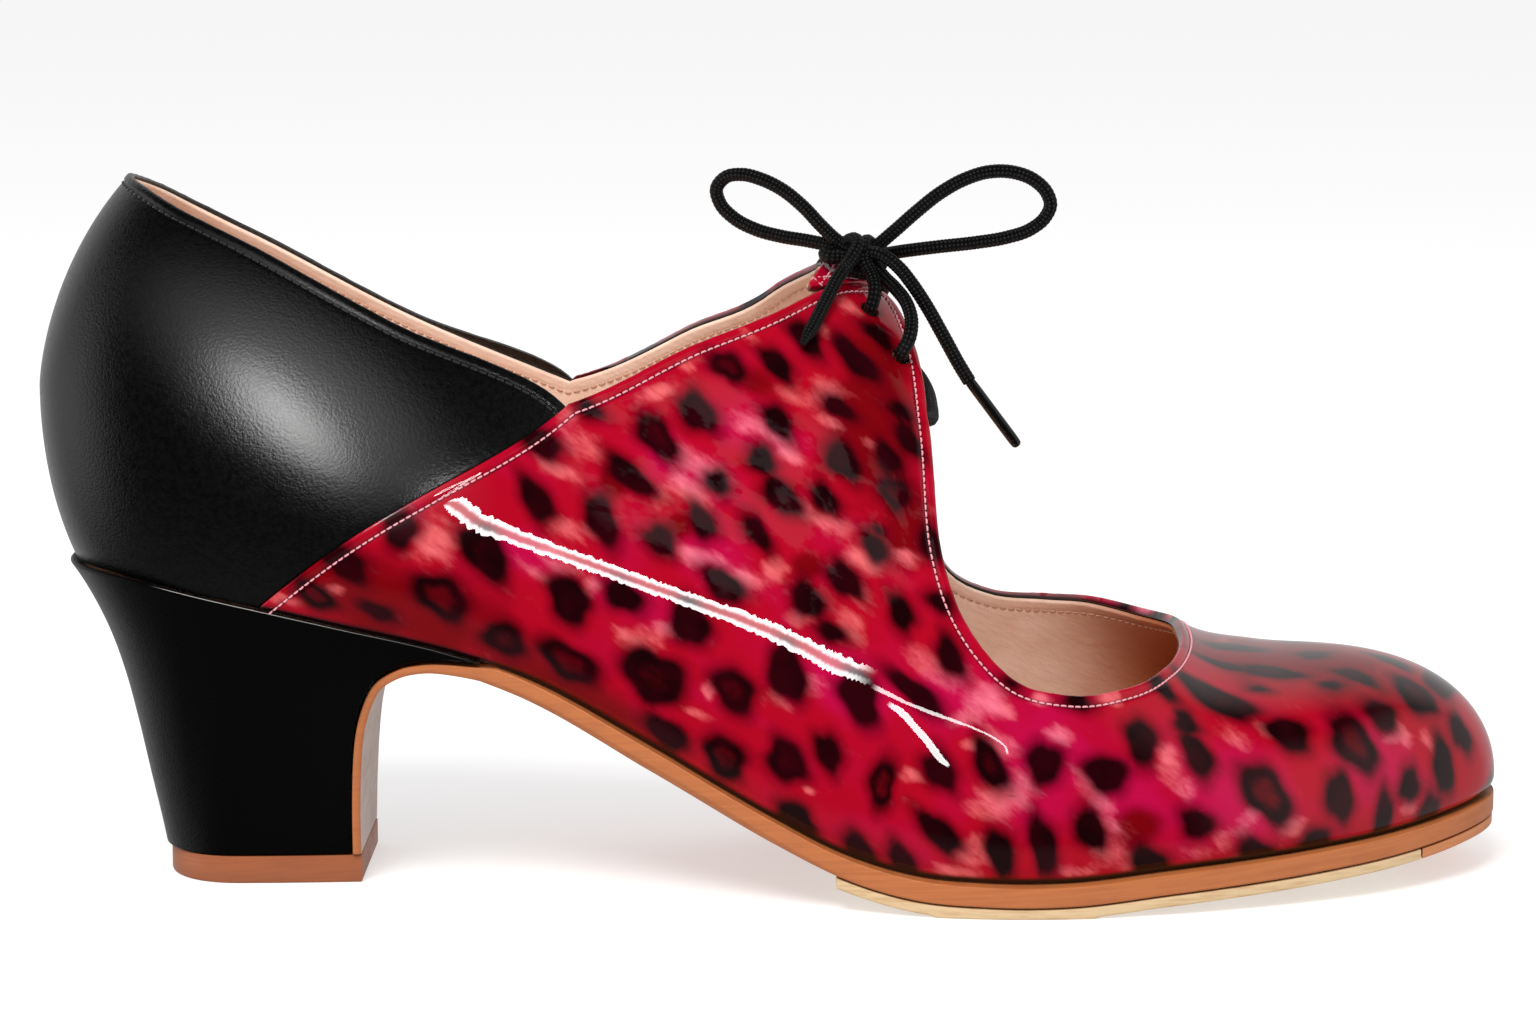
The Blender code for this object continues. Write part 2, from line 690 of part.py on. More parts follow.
def under_slab(name, xs, material):
    sides = feather_sides(xs, SOLE_MARGIN - UNDER_INSET, HEEL_BACK, SOLE_TIP - UNDER_INSET)
    rings = slab_rings(xs, sides, under_line(xs) - GAP, floor_line(xs), np.full(len(xs), UNDER_CHAMFER))
    points, faces = lofted(rings)
    add_object(name, points, faces, material)


def make_half_sole(material):
    xs = np.concatenate(
        [
            np.linspace(HALF_SOLE_BACK, BALL_FLAT[0], HALF_SOLE_STEPS["back"])[:-1],
            np.linspace(*BALL_FLAT, HALF_SOLE_STEPS["flat"]),
            np.linspace(BALL_FLAT[1], HALF_SOLE_FRONT, HALF_SOLE_STEPS["front"])[1:],
        ]
    )
    under_slab("half_sole", xs, material)


def make_toe_plate(material):
    round_part = toe_stations(SOLE_TIP - UNDER_INSET)
    xs = np.concatenate([[TOE_PLATE_BACK], round_part[round_part > TOE_PLATE_BACK + GAP]])
    under_slab("toe_plate", xs, material)


def make_insole(material):
    middle = np.linspace(HEEL_CENTRE, TOE_CENTRE, INSOLE_STEPS)[1:]
    xs = np.concatenate([heel_stations(INSOLE_BACK), middle, toe_stations(INSOLE_TIP)])
    sides = feather_sides(xs, -(WALL + INSOLE_INSET), INSOLE_BACK, INSOLE_TIP)
    low = feather(xs)
    points, faces = lofted(slab_rings(xs, sides, low + INSOLE_THICK, low, np.full(len(xs), INSOLE_CHAMFER)))
    add_object("insole", points, faces, material)


def unit_profile(rows):
    """Line from its lower end (0, 0) to its upper end (1, 1), read at even steps along it."""
    rows = np.asarray(rows, float)[::-1]
    steps = np.linalg.norm(np.diff(rows, axis=0), axis=1)
    along = np.concatenate([[0], np.cumsum(steps)]) / steps.sum()
    span = rows[-1] - rows[0]
    shares = (rows - rows[0]) / span
    return smooth(along, shares[:, 0]), smooth(along, shares[:, 1])


def seat_outline(t):
    """Top of the heel from its front corner (0) round to the back (1), on one side: x, and share of the width."""
    front, back = BREAST_ROWS[0][0], HEEL_BACK_ROWS[0][0]
    length, arc = front - SEAT_TURN, SEAT_TURN - back
    split = length / (length + SEAT_ARC_WEIGHT * arc)
    if t < split:
        return front - length * t / split, 1.0
    turn = (t - split) / (1 - split) * math.pi / 2
    power = 2 / SEAT_ROUND
    return SEAT_TURN - arc * math.sin(turn) ** power, max(math.cos(turn), 0.0) ** power


def lift_outline(t):
    """Foot of the heel from its front corner (0) round to the back (1): x, and share of the width."""
    front, back = BREAST_ROWS[-1][0], HEEL_BACK_ROWS[-1][0]
    middle = (front + back) / 2 - LIFT_TURN_BACK
    if t < LIFT_SPLIT:
        share = t / LIFT_SPLIT
        wide = LIFT_FRONT_SHARE + (1 - LIFT_FRONT_SHARE) * math.sin(share * math.pi / 2)
        return front + (middle - front) * share, wide
    turn = (t - LIFT_SPLIT) / (1 - LIFT_SPLIT) * math.pi / 2
    power = 2 / LIFT_ROUND
    return middle - (middle - back) * math.sin(turn) ** power, max(math.cos(turn), 0.0) ** power


def heel_columns(side):
    """Columns of the heel's side from the front corner to the back, each from its foot up to the seat."""
    sign = SIDE_SIGN[side]
    front_x, front_z = unit_profile(BREAST_ROWS)
    back_x, back_z = unit_profile(HEEL_BACK_ROWS)
    share = np.linspace(0, 1, HEEL_LEVELS)
    columns = []
    for t in np.linspace(0, 1, HEEL_SIDE_STEPS):
        top_x, top_wide = seat_outline(t)
        foot_x, foot_wide = lift_outline(t)
        ends = feather_sides(np.array([max(top_x, HEEL_CENTRE)]), SEAT_RIM, HEEL_BACK, SOLE_TIP)
        top_y = abs(float(ends[0 if side == "lateral" else 1][0])) * top_wide
        foot_y = LIFT_HALF_WIDTH * foot_wide
        top_z, foot_z = float(feather(top_x)) - GAP, BREAST_ROWS[-1][1]
        back = t**BACK_EASE
        x_share = front_x(share) * (1 - back) + back_x(share) * back
        z_share = front_z(share) * (1 - back) + back_z(share) * back
        x = foot_x + (top_x - foot_x) * x_share
        z = foot_z + (top_z - foot_z) * z_share
        y = foot_y + (top_y - foot_y) * z_share**WIDTH_EASE
        columns.append(np.stack([x, sign * y, z], 1))
    return np.array(columns)


def make_heel_block(material):
    lateral, medial = heel_columns("lateral"), heel_columns("medial")
    steps, levels = HEEL_SIDE_STEPS, HEEL_LEVELS
    points = np.concatenate([lateral.reshape(-1, 3), medial[:-1].reshape(-1, 3)])

    def index(side, column, level):
        if column == steps - 1:
            side = 0
        return (side * steps + column) * levels + level

    faces = []
    for column in range(steps - 1):
        for level in range(levels - 1):
            for side in (0, 1):
                faces.append(
                    (
                        index(side, column, level),
                        index(side, column + 1, level),
                        index(side, column + 1, level + 1),
                        index(side, column, level + 1),
                    )
                )
        for level in (0, levels - 1):
            strip = [
                index(0, column, level),
                index(0, column + 1, level),
                index(1, column + 1, level),
                index(1, column, level),
            ]
            faces.append(tuple(dict.fromkeys(strip)))
    for level in range(levels - 1):
        faces.append((index(0, 0, level), index(0, 0, level + 1), index(1, 0, level + 1), index(1, 0, level)))
    add_object("heel_block", points, faces, material)


def make_top_lift(material):
    outline = []
    forward = LIFT_FRONT - BREAST_ROWS[-1][0]
    for t in np.linspace(0, 1, LIFT_STEPS):
        x, wide = lift_outline(t)
        x = x + forward * max(0.0, 1 - t / LIFT_SPLIT) + LIFT_BACK_INSET * t
        outline.append((x, -(LIFT_HALF_WIDTH * wide + LIFT_RIM * (1 - t**LIFT_RIM_POWER))))
    outline = outline[:-1] + [(outline[-1][0], 0.0)] + [(x, -y) for x, y in outline[-2::-1]]
    rings = [[(x, y, z) for x, y in outline] for z in (0.0, LIFT_TOP)]
    points, faces = lofted(rings)
    add_object("top_lift", points, faces, material)


def route(points, spacing):
    """A smooth curve through the points, read at even steps."""
    points = np.asarray(points, float)
    along = np.concatenate([[0], np.cumsum(np.linalg.norm(np.diff(points, axis=0), axis=1))])
    count = max(4, int(round(along[-1] / spacing)) + 1)
    t = np.linspace(0, along[-1], count)
    return np.stack([smooth(along, points[:, k])(t) for k in range(3)], 1)


def add_cord(name, points, radius, material, spacing=2 * LACE):
    curve = bpy.data.curves.new(name, "CURVE")
    curve.dimensions = "3D"
    curve.bevel_depth = radius * MM
    curve.bevel_resolution = 2
    curve.use_fill_caps = True
    line = to_frame(route(points, spacing))
    spline = curve.splines.new("POLY")
    spline.points.add(len(line) - 1)
    for point, place in zip(spline.points, line):
        point.co = (*place, 1.0)
    curve.materials.append(material)
    obj = bpy.data.objects.new(name, curve)
    bpy.context.scene.collection.objects.link(obj)
    return obj


def tube_mesh(points, radius):
    """Points and faces of a closed tube along a route."""
    line = route(points, STRAND_STEP)
    ahead = np.gradient(line, axis=0)
    ahead /= np.linalg.norm(ahead, axis=1, keepdims=True)
    turns = np.arange(STRAND_SIDES) * 2 * math.pi / STRAND_SIDES
    rings = []
    across = np.cross(ahead[0], (1.0, 0.0, 0.0))
    for place, way in zip(line, ahead):
        across = across - way * np.dot(across, way)
        across /= np.linalg.norm(across)
        other = np.cross(way, across)
        rings.append([place + radius * (math.cos(a) * across + math.sin(a) * other) for a in turns])
    return lofted(rings)


def join_to(obj, other, label):
    other.hide_render = True
    other.display_type = "WIRE"
    union = obj.modifiers.new(label, "BOOLEAN")
    union.operation = "UNION"
    union.object = other


def make_lace(material, tip_material):
    strands = []
    for number, points in enumerate(CROSSINGS):
        name = "lace_crossings" if number == 0 else f"lace_strand_{number}"
        strands.append(add_object(name, *tube_mesh(points, LACE / 2), material))
    for number, strand in enumerate(strands[1:]):
        join_to(strands[0], strand, f"strand {number}")
    make_knot(material)
    add_cord("lace_loop_back", LOOP_BACK, LACE / 2, material)
    add_cord("lace_loop_front", LOOP_FRONT, LACE / 2, material)
    add_cord("lace_end_near", END_NEAR, LACE / 2, material)
    add_cord("lace_end_front", END_FRONT, LACE / 2, material)
    add_cord("aglet_front", AGLET_FRONT, AGLET_RADIUS, tip_material, AGLET_STEP)


def make_knot(material):
    """The tied middle of the bow, a rounded lump with a waist where the lace wraps it."""
    place, size = np.array(KNOT["place"]), np.array(KNOT["size"])
    turns = np.arange(KNOT_SIDES) * 2 * math.pi / KNOT_SIDES
    rings = []
    for u in np.linspace(KNOT_END, math.pi - KNOT_END, KNOT_RINGS):
        waist = KNOT["waist"] * math.exp(-(((u - math.pi / 2) / KNOT["waist_width"]) ** 2))
        girth = math.sin(u) * (1 - waist)
        rings.append([place + size * (-math.cos(u), girth * math.cos(a), girth * math.sin(a)) for a in turns])
    add_object("lace_knot", *lofted(rings), material)


def main():
    for obj in list(bpy.data.objects):
        bpy.data.objects.remove(obj, do_unlink=True)
    patent = make_material("printed_patent_leather", (0.42, 0.03, 0.08), 0.12, 0.9)
    tan = make_material("tan_sole_leather", (0.55, 0.27, 0.10), 0.45)
    cream = make_material("pale_rubber", (0.80, 0.74, 0.64), 0.6)
    black = make_material("black_leather", (0.02, 0.02, 0.022), 0.35)
    nude = make_material("nude_lining_leather", (0.78, 0.52, 0.38), 0.6)
    cord = make_material("black_braid", (0.015, 0.015, 0.015), 0.7)
    tip = make_material("black_aglet", (0.02, 0.02, 0.02), 0.3)
    make_upper(patent)
    make_insole(nude)
    make_outsole(tan)
    make_half_sole(cream)
    make_toe_plate(tan)
    make_heel_block(black)
    make_top_lift(tan)
    make_lace(cord, tip)


main()
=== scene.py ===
"""Looks of a right flamenco shoe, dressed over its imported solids.

Sizes are millimetres on the last's own axes, as in the part's source: +X to the toe, -Y the outer side,
+Z up. Charts of the print, of the creases and of the lights' reflections are in pixels of the photograph.
Each row of a chart is laid on the surface that the camera sees there, and has its true size on it.
The lace is charted in pixels too, each with its depth along Y.
"""

import math

import bmesh
import bpy
import numpy as np
from mathutils import Matrix, Vector
from mathutils.bvhtree import BVHTree
from mathutils.kdtree import KDTree


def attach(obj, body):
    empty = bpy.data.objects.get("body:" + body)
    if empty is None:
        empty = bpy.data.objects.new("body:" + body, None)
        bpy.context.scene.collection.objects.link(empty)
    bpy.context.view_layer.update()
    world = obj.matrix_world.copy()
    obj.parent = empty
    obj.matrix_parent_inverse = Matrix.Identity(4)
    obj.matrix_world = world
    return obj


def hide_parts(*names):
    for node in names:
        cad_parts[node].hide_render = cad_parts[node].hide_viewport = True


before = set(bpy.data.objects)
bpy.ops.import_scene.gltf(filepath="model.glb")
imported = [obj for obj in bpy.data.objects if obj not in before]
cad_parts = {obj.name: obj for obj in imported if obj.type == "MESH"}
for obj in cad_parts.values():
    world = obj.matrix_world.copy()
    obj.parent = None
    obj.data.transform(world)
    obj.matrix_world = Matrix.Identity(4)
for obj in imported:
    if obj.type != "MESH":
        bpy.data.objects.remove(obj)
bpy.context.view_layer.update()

MM = 0.001
GAP = 0.3
BOX_MIDDLE = np.array([1.02, -1.25, 0.0])
SIDE_SIGN = {"lateral": -1.0, "medial": 1.0}
OTHER_SIDE = {"lateral": "medial", "medial": "lateral"}

# Camera: the photograph's frame in pixels, and the camera's place and pitch
PHOTO_WIDTH, PHOTO_HEIGHT, FOCAL_PIXELS = 1536, 1024, 4544.0
SENSOR_WIDTH = 36.0
CAMERA_PLACE, CAMERA_PITCH = np.array([0.0, -750.0, 165.0]), math.radians(8.0)
CAMERA_CLIP = (0.05, 100.0)

# How squarely a surface faces the camera at least, where a mark is laid on it or it counts as seen
PATCH_FACING, SEEN_FACING = 0.12, 0.08

# Last: the ends, where its round ends begin, and the powers of its round outlines
HEEL_BACK, HEEL_CENTRE = -120.4, -93.0
TOE_CENTRE, TOE_TIP = 92.0, 121.9
HEEL_ROUND = {"plan": 2.2, "up": 1.65, "down": 2.05}
TOE_ROUND = {"plan": 2.45, "up": 2.1, "down": 2.1}
LOWER_POWER = 2.2
OUTSIDE = 9.0
PROBE, END_SLACK, TINY = 0.02, 0.05, 1e-6

# A row for each section of the last. Sides are y at the widest height, tucks are shares lost at the feather.
SIDES = ("lateral", "medial")
LAST_COLUMNS = (
    "x", "lateral", "medial", "ridge", "wide_z", "ridge_z", "crown", "tuck_lateral", "tuck_medial",
)
LAST_ROWS = (
    (-93.0, -28.0, 28.0, 0.0, 74.5, 123.0, 1.62, 0.16, 0.16),
    (-60.0, -28.0, 27.0, 0.0, 66.0, 121.0, 1.65, 0.14, 0.18),
    (-34.0, -27.5, 25.0, 0.0, 56.5, 117.5, 1.70, 0.12, 0.24),
    (-8.0, -33.0, 29.0, 0.5, 43.0, 107.4, 1.75, 0.10, 0.20),
    (14.0, -39.0, 34.5, 1.5, 30.5, 98.8, 1.75, 0.08, 0.12),
    (24.5, -41.3, 36.8, 2.0, 25.0, 91.2, 1.78, 0.07, 0.08),
    (32.0, -42.3, 38.0, 2.5, 22.0, 82.5, 1.80, 0.06, 0.06),
    (50.0, -42.0, 39.5, 3.5, 18.5, 60.0, 1.95, 0.05, 0.05),
    (60.0, -40.3, 39.0, 3.8, 17.5, 47.7, 2.05, 0.05, 0.05),
    (70.0, -37.8, 37.6, 4.0, 17.0, 39.1, 2.10, 0.05, 0.05),
    (82.0, -33.4, 35.5, 4.3, 16.7, 36.2, 2.15, 0.05, 0.05),
    (92.0, -28.8, 32.6, 4.5, 16.5, 35.6, 2.15, 0.05, 0.05),
    (122.0, -13.0, 23.5, 5.0, 15.0, 35.9, 2.15, 0.05, 0.05),
)

# Feather line, where the upper meets the sole
FEATHER_ROWS = (
    (-121.0, 53.4),
    (-105.0, 52.3),
    (-90.0, 48.9),
    (-70.0, 44.4),
    (-52.0, 40.2),
    (-40.0, 36.2),
    (-20.0, 25.9),
    (0.0, 15.0),
    (12.0, 9.4),
    (24.0, 6.3),
    (34.0, 5.6),
    (48.0, 5.6),
    (64.0, 7.0),
    (90.0, 8.9),
    (110.0, 10.9),
    (122.4, 12.6),
)

# Upper's net of ribs. Stations past the centres of the heel and the toe turn round them, and a fan is the
# station length of that quarter turn.
HEEL_FAN, TOE_FAN = 35.0, 70.0
FAN_BACK, FAN_TIP = HEEL_CENTRE - HEEL_FAN, TOE_CENTRE + TOE_FAN
RISE_WEIGHT = 0.7
TOP_SHARE = 0.1
LAP_RISE = 90.4
LOOK_REACH, LOOK_STEPS = 170.0, 30
FOOT_LOOK, COLLAR_LOOK = (-75.0, 40.0), (-20.0, 89.0)

# Top edge, a row for each rib named: its foot on the feather, its top station, then the top's height,
# or near the ridge its offset from the ridge, which is negative past the ridge
QUARTER_EDGE = {
    "lateral": (
        ("collar back", FAN_BACK, FAN_BACK, 116.1, None),
        ("collar heel", -112.0, -108.0, 114.2, None),
        ("collar side", -98.0, -88.0, 107.9, None),
        ("collar middle", -90.0, -60.0, 93.4, None),
        ("notch", -83.2, -32.6, 80.2, None),
    ),
    "medial": (
        ("collar back", FAN_BACK, FAN_BACK, 116.1, None),
        ("collar heel", -112.0, -108.0, 113.6, None),
        ("collar side", -98.0, -88.0, 106.0, None),
        ("collar middle", -90.0, -60.0, 90.8, None),
        ("notch", -83.2, -33.4, 79.6, None),
    ),
}
QUARTER_UNDER_VAMP = {
    "lateral": ("under the vamp", -77.0, -29.0, 75.0, None),
    "medial": ("under the vamp", -77.0, -29.8, 74.5, None),
}
VAMP_EDGE = {
    "lateral": (
        ("seam", -82.6, -32.0, 80.5, None),
        ("wing rise", -58.0, -14.0, 88.7, None),
        ("wing top", -38.0, 3.0, 95.0, None),
        ("wing tip", -24.0, 13.5, 97.6, None),
        ("tip corner", -14.0, 19.4, 95.3, None),
        ("front high", -6.0, 23.6, 88.4, None),
        ("front middle", 3.0, 25.9, 75.0, None),
        ("front low", 13.0, 27.6, 57.5, None),
        ("throat back", 23.0, 31.0, 47.6, None),
        ("throat low", 35.0, 39.0, 38.1, None),
        ("throat deep", 48.0, 48.0, 35.4, None),
        ("throat fore", 66.0, 57.3, 35.7, None),
        ("throat turn", 92.0, 63.8, 37.3, None),
        ("throat front", FAN_TIP, 68.7, None, 0.0),
    ),
    "medial": (
        ("seam", -82.6, -32.8, 79.9, None),
        ("wing rise", -58.0, -14.0, 88.5, None),
        ("wing top", -38.0, 1.0, 96.0, None),
        ("wing crest", -29.0, 9.0, None, 2.0),
        ("wing tip", -24.0, 8.4, None, -5.4),
        ("tip corner", -21.0, 6.6, None, -10.8),
        ("tip lap", -18.0, 10.8, None, -8.4),
        ("tip front", -13.0, 15.2, None, -3.4),
        ("front high", -6.0, 20.2, None, 6.5),
        ("front middle", 3.0, 25.2, 79.0, None),
        ("front low", 13.0, 27.6, 58.0, None),
        ("throat back", 23.0, 31.0, 45.6, None),
        ("throat low", 35.0, 39.0, 40.9, None),
        ("throat deep", 48.0, 48.0, 40.2, None),
        ("throat fore", 66.0, 55.6, 40.2, None),
        ("throat turn", 92.0, 63.2, 39.2, None),
        ("throat front", FAN_TIP, 68.7, None, 0.0),
    ),
}

# Eyelet holes: side, x, height or offset from the ridge
EYELET_RADIUS, EYELET_SIDES, EYELET_CUT = 1.7, 28, 9.0
EYELETS = (
    ("lateral", 16.4, 93.9, None),
    ("lateral", 21.6, 86.9, None),
    ("medial", 10.5, None, 4.0),
    ("medial", 17.5, None, 11.0),
)

# Fine nets: ribs a side, levels, and the close steps from an edge that carry its fold and stitch groove
VAMP_RIBS, QUARTER_RIBS, FINE_LEVELS = 200, 64, 102
LINING_RIBS, LINING_LEVELS = {"quarter": 36, "vamp": 104}, 40
EDGE_STEPS = (0.0, 0.08, 0.2, 0.36, 0.6, 0.9, 1.2, 1.5, 1.8, 2.1, 2.5, 3.0, 3.8)
SEAM_SPREAD = 2.0

# Layers of the upper, as offsets from the last
VAMP_RISE, VAMP_INSIDE, VAMP_LAP = 0.6, -0.75, 0.05
VAMP_LAP_FADE = (7.0, 4.5)
FOOT_TUCK, FOOT_TUCK_FADE = 0.45, (1.4, 0.0)
QUARTER_INSIDE = -0.8
UNDER_FADE, UNDER_DROP = (-83.4, -82.0), 0.25
LINING_OUTSIDE, LINING_INSIDE, LINING_DROP, LINING_ROUND = -0.85, -1.6, 0.45, 0.3

# Edges: how round they are, how far the fold stands up, and the stitch line
EDGE_ROUND, EDGE_FOLD, FOLD_WIDTH, FOLD_FALL = 0.42, 0.16, 1.45, 0.5
STITCH_IN, GROOVE_DEPTH, GROOVE_WIDTH = 1.8, 0.14, 0.34
COLLAR_ROUND, COLLAR_FOLD, COLLAR_FOLD_WIDTH, COLLAR_STITCH_IN = 0.6, 0.3, 1.7, 2.0
LINING_STITCH_IN = 1.9
ONTO_ROUNDS, INSET_STEP = 3, 0.4

# Where colours fade: painted shade browns the lining towards the toe, painted shade darkens the vamp by its
# stitches, black paint runs down its cut edges, and painted shade darkens it at the sole
TOE_PAINTED_SHADE = (40.0, 70.0)
GROOVE_SHADE, CUT_PAINT, LOW_PAINTED_SHADE = (0.42, 0.1), (0.22, -0.05), (1.2, 0.4)


def smooth(xs, values, flat_start=False, flat_end=False):
    """A smooth curve through the rows, straight past its ends."""
    xs, values = np.asarray(xs, float), np.asarray(values, float)
    steps = np.diff(values) / np.diff(xs)
    slopes = np.empty(len(xs))
    slopes[0] = 0.0 if flat_start else steps[0]
    slopes[-1] = 0.0 if flat_end else steps[-1]
    before, after = np.diff(xs)[:-1], np.diff(xs)[1:]
    slopes[1:-1] = (steps[:-1] * after + steps[1:] * before) / (before + after)

    def value(x):
        x = np.asarray(x, float)
        held = np.clip(x, xs[0], xs[-1])
        k = np.clip(np.searchsorted(xs, held, "right") - 1, 0, len(xs) - 2)
        width = xs[k + 1] - xs[k]
        t = (held - xs[k]) / width
        curve = (
            values[k] * (1 + 2 * t) * (1 - t) ** 2
            + values[k + 1] * t * t * (3 - 2 * t)
            + width * (slopes[k] * t * (1 - t) ** 2 - slopes[k + 1] * t * t * (1 - t))
        )
        return curve + (x - held) * np.where(x < held, slopes[0], slopes[-1])

    return value


def by_rows(rows):
    xs, values = zip(*rows)
    return smooth(xs, values)


def unit(ways):
    """Ways of length 1."""
    return ways / np.linalg.norm(ways, axis=-1, keepdims=True)


def heading(line):
    """The way ahead at each point of a line."""
    return unit(np.gradient(line, axis=0))


def lengths_along(line):
    """How far along a line each of its points lies."""
    return np.concatenate([[0.0], np.cumsum(np.linalg.norm(np.diff(line, axis=0), axis=1))])


LAST_TABLE = np.array(LAST_ROWS)
LAST_CURVES = {name: smooth(LAST_TABLE[:, 0], LAST_TABLE[:, k]) for k, name in enumerate(LAST_COLUMNS)}
feather = by_rows(FEATHER_ROWS)


def round_end(share, power):
    share = np.clip(share, 0.0, 1.0)
    return (1 - share**power) ** (1 / power)


def last_at(x):
    """The section of the last at x: ridge, half widths, widest height, rise to the ridge, and tucks."""
    row = {name: curve(x) for name, curve in LAST_CURVES.items()}
    heel = (HEEL_CENTRE - x) / (HEEL_CENTRE - HEEL_BACK)
    toe = (x - TOE_CENTRE) / (TOE_TIP - TOE_CENTRE)
    shrink = {way: round_end(heel, HEEL_ROUND[way]) * round_end(toe, TOE_ROUND[way]) for way in HEEL_ROUND}
    row["half_lateral"] = (row["ridge"] - row["lateral"]) * shrink["plan"]
    row["half_medial"] = (row["medial"] - row["ridge"]) * shrink["plan"]
    row["rise"] = (row["ridge_z"] - row["wide_z"]) * shrink["up"]
    row["shrink_down"] = shrink["down"]
    return row


def depth_value(points):
    """Under 1 inside the last, over 1 outside it."""
    x, y, z = points[..., 0], points[..., 1], points[..., 2]
    row = last_at(x)
    lateral = y < row["ridge"]
    half = np.where(lateral, row["half_lateral"], row["half_medial"])
    tuck = np.where(lateral, row["tuck_lateral"], row["tuck_medial"])
    reach = (1 - (1 - tuck) ** LOWER_POWER) ** (1 / LOWER_POWER)
    fall = (row["wide_z"] - feather(x)) / reach * row["shrink_down"]
    height = z - row["wide_z"]
    tall = np.where(height > 0, row["rise"], fall)
    power = np.where(height > 0, row["crown"], LOWER_POWER)
    value = (np.abs(y - row["ridge"]) / (half + TINY)) ** power + (np.abs(height) / (tall + TINY)) ** power
    return np.where((x <= HEEL_BACK) | (x >= TOE_TIP), OUTSIDE, value)


def outward(points):
    """The way straight out of the last at points of its surface."""
    slope = [depth_value(points + PROBE * axis) - depth_value(points - PROBE * axis) for axis in np.eye(3)]
    return unit(np.stack(slope, -1))


def halve(low, high, is_low):
    """The value between low and high where is_low stops being true."""
    low, high = np.array(low, float), np.array(high, float)
    for _ in range(LOOK_STEPS):
        middle = (low + high) / 2
        below = is_low(middle)
        low, high = np.where(below, middle, low), np.where(below, high, middle)
    return (low + high) / 2


def look(azimuth, elevation, side):
    """The way to look from inside the last. Azimuth 90 is to the side, 0 to the toe."""
    turn, climb = np.radians(azimuth), np.radians(elevation)
    flat = np.cos(climb)
    return np.stack([flat * np.cos(turn), SIDE_SIGN[side] * flat * np.sin(turn), np.sin(climb)], -1)


def cast(base, way):
    """The last's surface as seen along a way from its inside at x = base."""
    base = np.asarray(base, float)
    row = last_at(base)
    origin = np.stack([base, row["ridge"], row["wide_z"]], -1)
    reach = halve(
        np.zeros(base.shape),
        np.full(base.shape, LOOK_REACH),
        lambda t: depth_value(origin + t[..., None] * way) < 1,
    )
    return origin + reach[..., None] * way


def spot(station):
    """Base and azimuth of a station: fans round the heel and the toe, straight between them."""
    station = np.asarray(station, float)
    azimuth = (
        90
        + 90 * np.clip((HEEL_CENTRE - station) / HEEL_FAN, 0, 1)
        - 90 * np.clip((station - TOE_CENTRE) / TOE_FAN, 0, 1)
    )
    return np.clip(station, HEEL_CENTRE, TOE_CENTRE), azimuth


def foot_elevation(station, side):
    base, azimuth = spot(station)

    def below(elevation):
        point = cast(base, look(azimuth, elevation, side))
        return point[..., 2] < feather(point[..., 0])

    low, high = FOOT_LOOK
    return halve(np.full(base.shape, low), np.full(base.shape, high), below)


def elevation_at(station, height, offset, side):
    """The direction of a point of the top edge, given by its height or by its offset from the ridge."""
    if station < HEEL_CENTRE:
        base, azimuth = spot(station)
        return float(halve(*COLLAR_LOOK, lambda el: cast(base, look(azimuth, el, side))[..., 2] < height))
    row = last_at(station)
    if offset is None:
        up = height - row["wide_z"]
        share = 1 - (up / row["rise"]) ** row["crown"]
        offset = row["half_" + side] * share ** (1 / row["crown"])
    else:
        half = row["half_" + (side if offset >= 0 else OTHER_SIDE[side])]
        up = row["rise"] * (1 - (abs(offset) / half) ** row["crown"]) ** (1 / row["crown"])
    return math.degrees(math.atan2(up, offset))


def swung(low, high, share):
    """Ways between two ways, at even angles."""
    angle = np.arccos(np.clip((low * high).sum(-1, keepdims=True), -1, 1))
    return (np.sin((1 - share) * angle) * low + np.sin(share * angle) * high) / np.sin(angle)


def rib_ends(rows, side, count, close_to="", at_heel=False, at_toe=False):
    """Foot stations, top stations and top elevations of ribs, close together next to a seam at one end."""
    feet = np.array([row[1] for row in rows])
    tops = np.array([row[2] for row in rows])
    rises = np.array([elevation_at(row[2], row[3], row[4], side) for row in rows])
    steps = np.sqrt(np.diff(tops) ** 2 + (RISE_WEIGHT * np.diff(rises)) ** 2 + np.diff(feet) ** 2)
    along = np.concatenate([[0.0], np.cumsum(steps)])
    close = SEAM_SPREAD * np.array(EDGE_STEPS)
    t = np.linspace(0, along[-1], count)
    if close_to == "start":
        t = np.concatenate([close[:-1], np.linspace(close[-1], along[-1], count)])
    return (
        smooth(along, feet)(t),
        smooth(along, tops, flat_end=at_toe)(t),
        smooth(along, rises, flat_start=at_heel)(t),
    )


def lap_turns(top_base, rises, foot_rises):
    """Base and share of length where ribs that lap over the ridge cross it. Others cross at their tops."""
    bases, shares = top_base.copy(), np.ones(len(rises))
    lap = np.flatnonzero((rises > LAP_RISE) & (top_base < TOE_CENTRE / 2))
    if len(lap):
        bases[lap] = np.linspace(top_base[lap[0] - 1], top_base[lap[-1] + 1], len(lap) + 2)[1:-1]
        shares[lap] = ((LAP_RISE - foot_rises) / (rises - foot_rises))[lap]
    return bases[:, None], shares[:, None]


